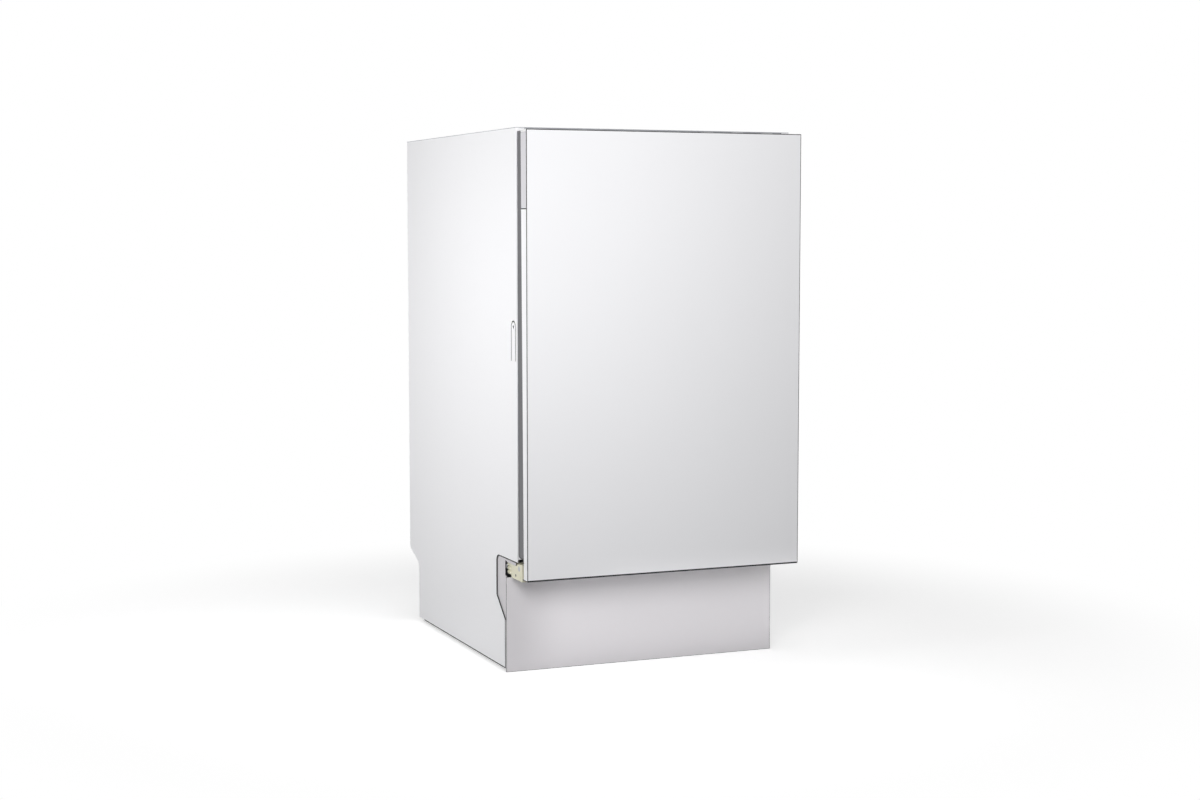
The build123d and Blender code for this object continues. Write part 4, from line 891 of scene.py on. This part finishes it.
class DISHWASHER_OT_seams(bpy.types.Operator):
    """Painted shadow beads round the side panels' notch and foot, and the kick plate's lip and the ribs at
    each hinge bearing
    """

    bl_idname = "dishwasher.seams"
    bl_label = "Painted shadow beads and bearings"

    def execute(self, context):
        kick = span("kick_plate")
        notch_top = span("hinge_bearing_left")[1].z + NOTCH_ROOM
        for side, pick in SIDES:
            node = "side_panel_" + side
            block = "hinge_bearing_" + side
            outer = span(node)[pick].x
            way = 1 if outer < 0 else -1
            face = kick[pick].x + way * BEAD_DEPTH
            places = []
            for ends in rim_edges(node, outer, notch_top):
                places += [spot((face, min(end.y, FOOT_BEAD_END), end.z), (1, 0, 0)) for end in ends]
            edges = [(i, i + 1) for i in range(0, len(places), 2)]
            # a dark bead in the black rubber finish along notch and foot, where there is only shade: painted
            # shadow
            fitted("notch_seam_" + side, node, "seal_black", laid_bead, places, edges, Bead=sizes().seam)
            lip(side, outer + way * LIP_DEPTH, way * LIP_SHEET, kick[0].y)
            ribs = [touch(block, (outer - way * CLEAR, BEARING_HEEL, z), (way, 0, 0), (0, 1, 0))
                    for z in HEEL_RIBS]
            fitted(block + "_ribs", block, "cream_plastic", pressed_rib, ribs,
                   Long=20 * MM, Wide=3.1 * MM, Tall=2.6 * MM)
            plug = spot((span(block)[pick].x, *BEARING_PLUG), (-way, 0, 0), None, (1.0, 1.0, 0.15))
            fitted(block + "_plug", block, "seal_black", round_tip, [plug], Radius=2 * MM)
        return {"FINISHED"}


class DISHWASHER_OT_rear(bpy.types.Operator):
    """Pressed ribs of the rear panel, and threads and barbs on the connections"""

    bl_idname = "dishwasher.rear"
    bl_label = "Rear"

    def execute(self, context):
        behind = CAD_HIGH[1] + CLEAR
        ahead = (0, -1, 0)
        ribs = [touch("rear_panel", (0, behind, z), ahead, (1, 0, 0)) for z in REAR_ACROSS]
        ribs += [touch("rear_panel", (x, behind, REAR_MIDDLE), ahead, (0, 0, 1), (1.7, 1.0, 1.0))
                 for x in REAR_UPRIGHT]
        fitted("rear_ribs", "rear_panel", "galvanised", pressed_rib, ribs,
               Long=0.3, Wide=6 * MM, Tall=0.9 * MM)
        low, high = span("inlet_valve")
        thread = 13 * MM
        place = ((low.x + high.x) / 2, high.y - thread - MM, (low.z + high.z) / 2)
        fitted("inlet_thread", "inlet_valve", "clear_white", wound_wire, [spot(place, (0, 1, 0))],
               Coil=13.2 * MM, Wire=0.4 * MM, Long=thread, Turns=8.0)
        low, high = span("drain_outlet")
        barbs = [spot(((low.x + high.x) / 2, high.y - back * MM, (low.z + high.z) / 2), (0, 1, 0))
                 for back in BARBS]
        fitted("drain_barbs", "drain_outlet", "base_black", ring_bead, barbs, Ring=9.5 * MM, Bead=0.7 * MM)
        low, high = span("mains_inlet")
        middle = ((low.x + high.x) / 2, high.y, (low.z + high.z) / 2)
        gland = [spot(middle, (0, 1, 0), None, size) for size in (1.0, 1.4)]
        fitted("mains_gland", "mains_inlet", "base_black", ring_bead, gland, Ring=6.5 * MM, Bead=1.2 * MM)
        return {"FINISHED"}


class DISHWASHER_OT_racks(bpy.types.Operator):
    """Rounded wire ends, front grips, wheel rims and basket ribs of the racks"""

    bl_idname = "dishwasher.racks"
    bl_label = "Racks"

    def execute(self, context):
        for node in ("lower_rack", "upper_rack"):
            fitted(node + "_tips", node, "rack_coat", round_tip, wire_ends(node, 3 * MM), Radius=1.02 * MM)
            low, high = span(node)
            grips = [spot((0, low.y + MM, high.z - down * MM), (0, -1, 0), (1, 0, 0), (long, 1.0, 1.0))
                     for down, long in ((5, 1.0), (17, 0.8))]
            fitted(node + "_grip", node, "spray_grey", pressed_rib, grips,
                   Long=0.13, Wide=6 * MM, Tall=6 * MM)
        for node in (name for name in NODES if name.startswith("rack_wheel")):
            low, high = span(node)
            middle = (low + high) / 2
            inner = Vector((low.x if middle.x > 0 else high.x, middle.y, middle.z))
            way = Vector((-1 if middle.x > 0 else 1, 0, 0))
            rims = [spot(inner, way, None, size) for size in (1.0, 0.45)]
            fitted(node + "_rims", node, "spray_grey", ring_bead, rims, Ring=12 * MM, Bead=1.2 * MM)
        basket = "cutlery_basket"
        low, high = span(basket)
        level = low.z + BASKET_LEVEL
        ribs = []
        for i in range(BASKET_ALONG):
            y = low.y + (high.y - low.y) * (i + 0.5) / BASKET_ALONG
            ribs.append(touch(basket, (low.x - CLEAR, y, level), (1, 0, 0), (0, 0, 1)))
            ribs.append(touch(basket, (high.x + CLEAR, y, level), (-1, 0, 0), (0, 0, 1)))
        for i in range(BASKET_ACROSS):
            x = low.x + (high.x - low.x) * (i + 0.5) / BASKET_ACROSS
            ribs.append(touch(basket, (x, low.y - CLEAR, level), (0, 1, 0), (0, 0, 1)))
            ribs.append(touch(basket, (x, high.y + CLEAR, level), (0, -1, 0), (0, 0, 1)))
        fitted("basket_ribs", basket, "spray_grey", pressed_rib, ribs,
               Long=76 * MM, Wide=1.5 * MM, Tall=1.2 * MM)
        return {"FINISHED"}


class DISHWASHER_OT_wash(bpy.types.Operator):
    """Spray arm nozzle rims, cap knurls and the pressed ribs of tub and door liner"""

    bl_idname = "dishwasher.wash"
    bl_label = "Wash space"

    def execute(self, context):
        for node in ("lower_spray_arm", "upper_spray_arm"):
            softened(node, sizes().arm_edge)
            low, high = span(node)
            middle = (low + high) / 2
            rims = []
            for reach in NOZZLE_REACH:
                for sign in (-1, 1):
                    place = (sign * reach, middle.y + sign * NOZZLE_SIDE, low.z + ARM_TOP)
                    rims.append(spot(place, (0, 0, 1)))
            fitted(node + "_rims", node, "spray_grey", ring_bead, rims, Ring=2.5 * MM, Bead=0.8 * MM)
        for node, axis, level, deep, count in KNURLS:
            low, high = span(node)
            middle = (low + high) / 2
            pick = 1 if axis[1] else 2
            middle[pick] = (high if level < 0 else low)[pick] + level * MM
            spots = around(middle, (high.x - low.x) / 2, axis, count)
            fitted(node + "_knurl", node, slot_of(node), pressed_rib, spots,
                   Long=deep * MM, Wide=1.1 * MM, Tall=0.7 * MM)
        walls = [touch("tub", (way * TUB_START, TUB_DEEP, z), (way, 0, 0), (0, 1, 0))
                 for z in TUB_WALL for way in (-1, 1)]
        walls += [touch("tub", (x, TUB_START, TUB_MIDDLE), (0, 1, 0), (0, 0, 1), (0.8, 1.0, 1.0))
                  for x in TUB_BACK]
        fitted("tub_ribs", "tub", "stainless", pressed_rib, walls, Long=0.32, Wide=7 * MM, Tall=2.2 * MM)
        panel = [touch("door_liner", (0, WASH_PLANE, z), (0, -1, 0), (1, 0, 0)) for z in LINER]
        fitted("liner_ribs", "door_liner", "stainless", pressed_rib, panel,
               Long=0.27, Wide=7 * MM, Tall=2.2 * MM)
        return {"FINISHED"}


class DISHWASHER_OT_controls(bpy.types.Operator):
    """Softened mouldings, the dispenser's gasket, guides and lid ribs, and the indicator lenses"""

    bl_idname = "dishwasher.controls"
    bl_label = "Controls and dispenser"

    def execute(self, context):
        for node in MOULDED:
            softened(node, sizes().mould_edge)
        low, high = span("detergent_dispenser")
        rim = 1.2 * MM
        left, right, base, top = low.x - rim, high.x + rim, low.z - rim, high.z + rim
        corners = [touch("door_liner", (x, WASH_PLANE, z), (0, -1, 0))
                   for x, z in ((left, base), (right, base), (right, top), (left, top))]
        fitted("dispenser_gasket", "detergent_dispenser", "seal_black", laid_bead, corners,
               [(0, 1), (1, 2), (2, 3), (3, 0)], Bead=sizes().gasket)
        lid_low, lid_high = span("detergent_lid")
        level = (low.z + high.z) / 2
        guides = [touch("detergent_dispenser", (x, WASH_PLANE, level), (0, -1, 0), (0, 0, 1))
                  for x in (lid_low.x - 3 * MM, lid_high.x + 3 * MM)]
        fitted("lid_guides", "detergent_dispenser", "dispenser_white", pressed_rib, guides,
               Long=0.14, Wide=1.8 * MM, Tall=3 * MM)
        middle = (lid_low.x + lid_high.x) / 2
        foot = lid_low.z + 10 * MM
        ribs = [touch("detergent_lid", (middle, WASH_PLANE, foot + step * MM), (0, -1, 0), (1, 0, 0))
                for step in LID_RIBS]
        fitted("lid_ribs", "detergent_lid", "dispenser_white", pressed_rib, ribs,
               Long=30 * MM, Wide=1.2 * MM, Tall=1.2 * MM)
        low, high = span("power_button")
        row = (low.y + high.y) / 2
        above = CAD_HIGH[2] + CLEAR
        lenses = [touch("control_fascia", (x * MM, row, above), (0, 0, -1), None, (1.0, 1.0, 0.25))
                  for x in LENSES]
        mesh = grown("indicator_lenses", round_tip, "lens_amber", lenses, Radius=2.4 * MM)
        settle("indicator_lenses", mesh, body_of("control_fascia"), "fascia_white")
        return {"FINISHED"}


def stage_object(name, mesh, material):
    """A piece of the stage, which is no part of the object."""
    mesh.materials.append(material)
    made = linked(name, mesh)


def shown(tree):
    """1 for the rays that see the white backdrop: from the camera, through glass or off a gloss."""
    path = add(tree, "ShaderNodeLightPath").outputs
    straight = worked(tree, "MAXIMUM", path["Is Camera Ray"], path["Is Transmission Ray"])
    return worked(tree, "MAXIMUM", straight, path["Is Glossy Ray"])


def floor_material():
    """Pale floor that the camera sees as white paper and the object as plain grey."""
    made = bpy.data.materials.new("studio_floor")
    made.use_nodes = True
    tree = made.node_tree
    tree.nodes.clear()
    tone = list(colours().floor_pale)
    paper = add(tree, "ShaderNodeBsdfDiffuse", {"Color": (*tone, 1)})
    glow = add(tree, "ShaderNodeEmission", {"Color": WHITE, "Strength": FLOOR_GLOW})
    near = add(tree, "ShaderNodeAddShader", {0: paper.outputs[0], 1: glow.outputs[0]})
    far = add(tree, "ShaderNodeEmission", {"Color": WHITE, "Strength": 1.0})
    place = add(tree, "ShaderNodeTexCoord")
    radius = add(tree, "ShaderNodeVectorMath", {0: place.outputs["Object"]}, operation="LENGTH")
    away = add(tree, "ShaderNodeMapRange",
               {"Value": radius.outputs["Value"], "From Min": FADE[0], "From Max": FADE[1]},
               interpolation_type="SMOOTHSTEP")
    bright = add(tree, "ShaderNodeMixShader", {0: away.outputs[0], 1: near.outputs[0], 2: far.outputs[0]})
    grey = add(tree, "ShaderNodeBsdfDiffuse", {"Color": BOUNCE})
    both = add(tree, "ShaderNodeMixShader", {0: shown(tree), 1: grey.outputs[0], 2: bright.outputs[0]})
    add(tree, "ShaderNodeOutputMaterial", {"Surface": both.outputs[0]})
    return made


# place, aim, width, height and beam in degrees of each lamp
LAMPS = {
    "side_lamp": ((-1.5, 0.4, 0.6), (-0.224, 0.14, 0.45), 0.5, 0.5, 100.0),
    "flank_lamp": ((-1.5, -0.35, 0.75), (-0.224, -0.12, 0.6), 0.4, 0.4, 60.0),
    "upper_lamp": ((-1.5, -0.1, 1.3), (-0.2, 0.0, 0.5), 0.6, 0.6, 180.0),
    "front_lamp": ((-0.75, -1.4, 0.75), (-0.12, -0.29, 0.6), 0.5, 0.5, 90.0),
    "high_lamp": ((-0.05, -1.0, 1.5), (0.08, -0.3, 0.6), 0.6, 0.6, 180.0),
    "low_lamp": ((0.92, -1.3, 0.08), (0.09, -0.2, 0.08), 0.42, 0.135, 4.0),
}


def lamp(name, place, aim, width, height, beam, power):
    """A soft lamp that points at a place."""
    data = bpy.data.lights.new(name, "AREA")
    data.shape = "RECTANGLE"
    data.size = width
    data.size_y = height
    data.energy = power
    data.spread = math.radians(beam)
    made = linked(name, data)
    made.visible_camera = False
    made.location = place
    made.rotation_euler = (Vector(aim) - Vector(place)).to_track_quat("-Z", "Y").to_euler()


class DISHWASHER_OT_stage(bpy.types.Operator):
    """Plain pale floor, soft studio light and the camera"""

    bl_idname = "dishwasher.stage"
    bl_label = "Stage"

    def execute(self, context):
        scene = context.scene
        setup = scene.dishwasher_stage
        scene.view_settings.view_transform = "Standard"
        floor = bmesh.new()
        bmesh.ops.create_grid(floor, x_segments=1, y_segments=1, size=FLOOR_HALF)
        mesh = bpy.data.meshes.new("studio_floor")
        floor.to_mesh(mesh)
        floor.free()
        stage_object("studio_floor", mesh, floor_material())
        world = bpy.data.worlds.new("studio")
        scene.world = world
        world.use_nodes = True
        tree = world.node_tree
        tree.nodes.clear()
        sky = add(tree, "ShaderNodeBackground", {"Color": WHITE, "Strength": setup.sky})
        backdrop = add(tree, "ShaderNodeBackground", {"Color": WHITE, "Strength": 1.0})
        both = add(tree, "ShaderNodeMixShader", {0: shown(tree), 1: sky.outputs[0], 2: backdrop.outputs[0]})
        add(tree, "ShaderNodeOutputWorld", {"Surface": both.outputs[0]})
        for name, row in LAMPS.items():
            lamp(name, *row, getattr(setup, name))
        camera = bpy.data.cameras.new("photo_camera")
        camera.sensor_width = 36.0
        camera.lens = setup.lens
        seat = linked("photo_camera", camera)
        seat.location = CAMERA_PLACE
        seat.rotation_euler = (math.radians(90 - CAMERA_TILT), 0.0, math.radians(-CAMERA_TURN))
        scene.camera = seat
        return {"FINISHED"}


PIECES = (
    DISHWASHER_OT_finishes, DISHWASHER_OT_cabinet, DISHWASHER_OT_seams, DISHWASHER_OT_door,
    DISHWASHER_OT_fixings, DISHWASHER_OT_rear, DISHWASHER_OT_racks, DISHWASHER_OT_wash,
    DISHWASHER_OT_controls, DISHWASHER_OT_stage,
)


class DISHWASHER_PT_pieces(bpy.types.Panel):
    """The dishwasher's pieces, in the order they are made"""

    bl_idname = "DISHWASHER_PT_pieces"
    bl_label = "Dishwasher"
    bl_space_type = "VIEW_3D"
    bl_region_type = "UI"
    bl_category = "Dishwasher"

    def draw(self, context):
        for piece in PIECES:
            self.layout.operator(piece.bl_idname)


SETTINGS = {"dishwasher_colours": DishwasherColours, "dishwasher_sizes": DishwasherSizes,
            "dishwasher_stage": DishwasherStage}


def register():
    """Registers the settings, the operators and the panel."""
    for name, kind in SETTINGS.items():
        bpy.utils.register_class(kind)
        setattr(bpy.types.Scene, name, PointerProperty(type=kind))
    for kind in (*PIECES, DISHWASHER_PT_pieces):
        bpy.utils.register_class(kind)


def unregister():
    """Takes back what register() did."""
    for kind in (DISHWASHER_PT_pieces, *reversed(PIECES)):
        bpy.utils.unregister_class(kind)
    for name, kind in SETTINGS.items():
        delattr(bpy.types.Scene, name)
        bpy.utils.unregister_class(kind)


def main():
    """Makes every piece in order."""
    register()
    for piece in PIECES:
        family, name = piece.bl_idname.split(".")
        getattr(getattr(bpy.ops, family), name)()


if __name__ == "__main__":
    main()
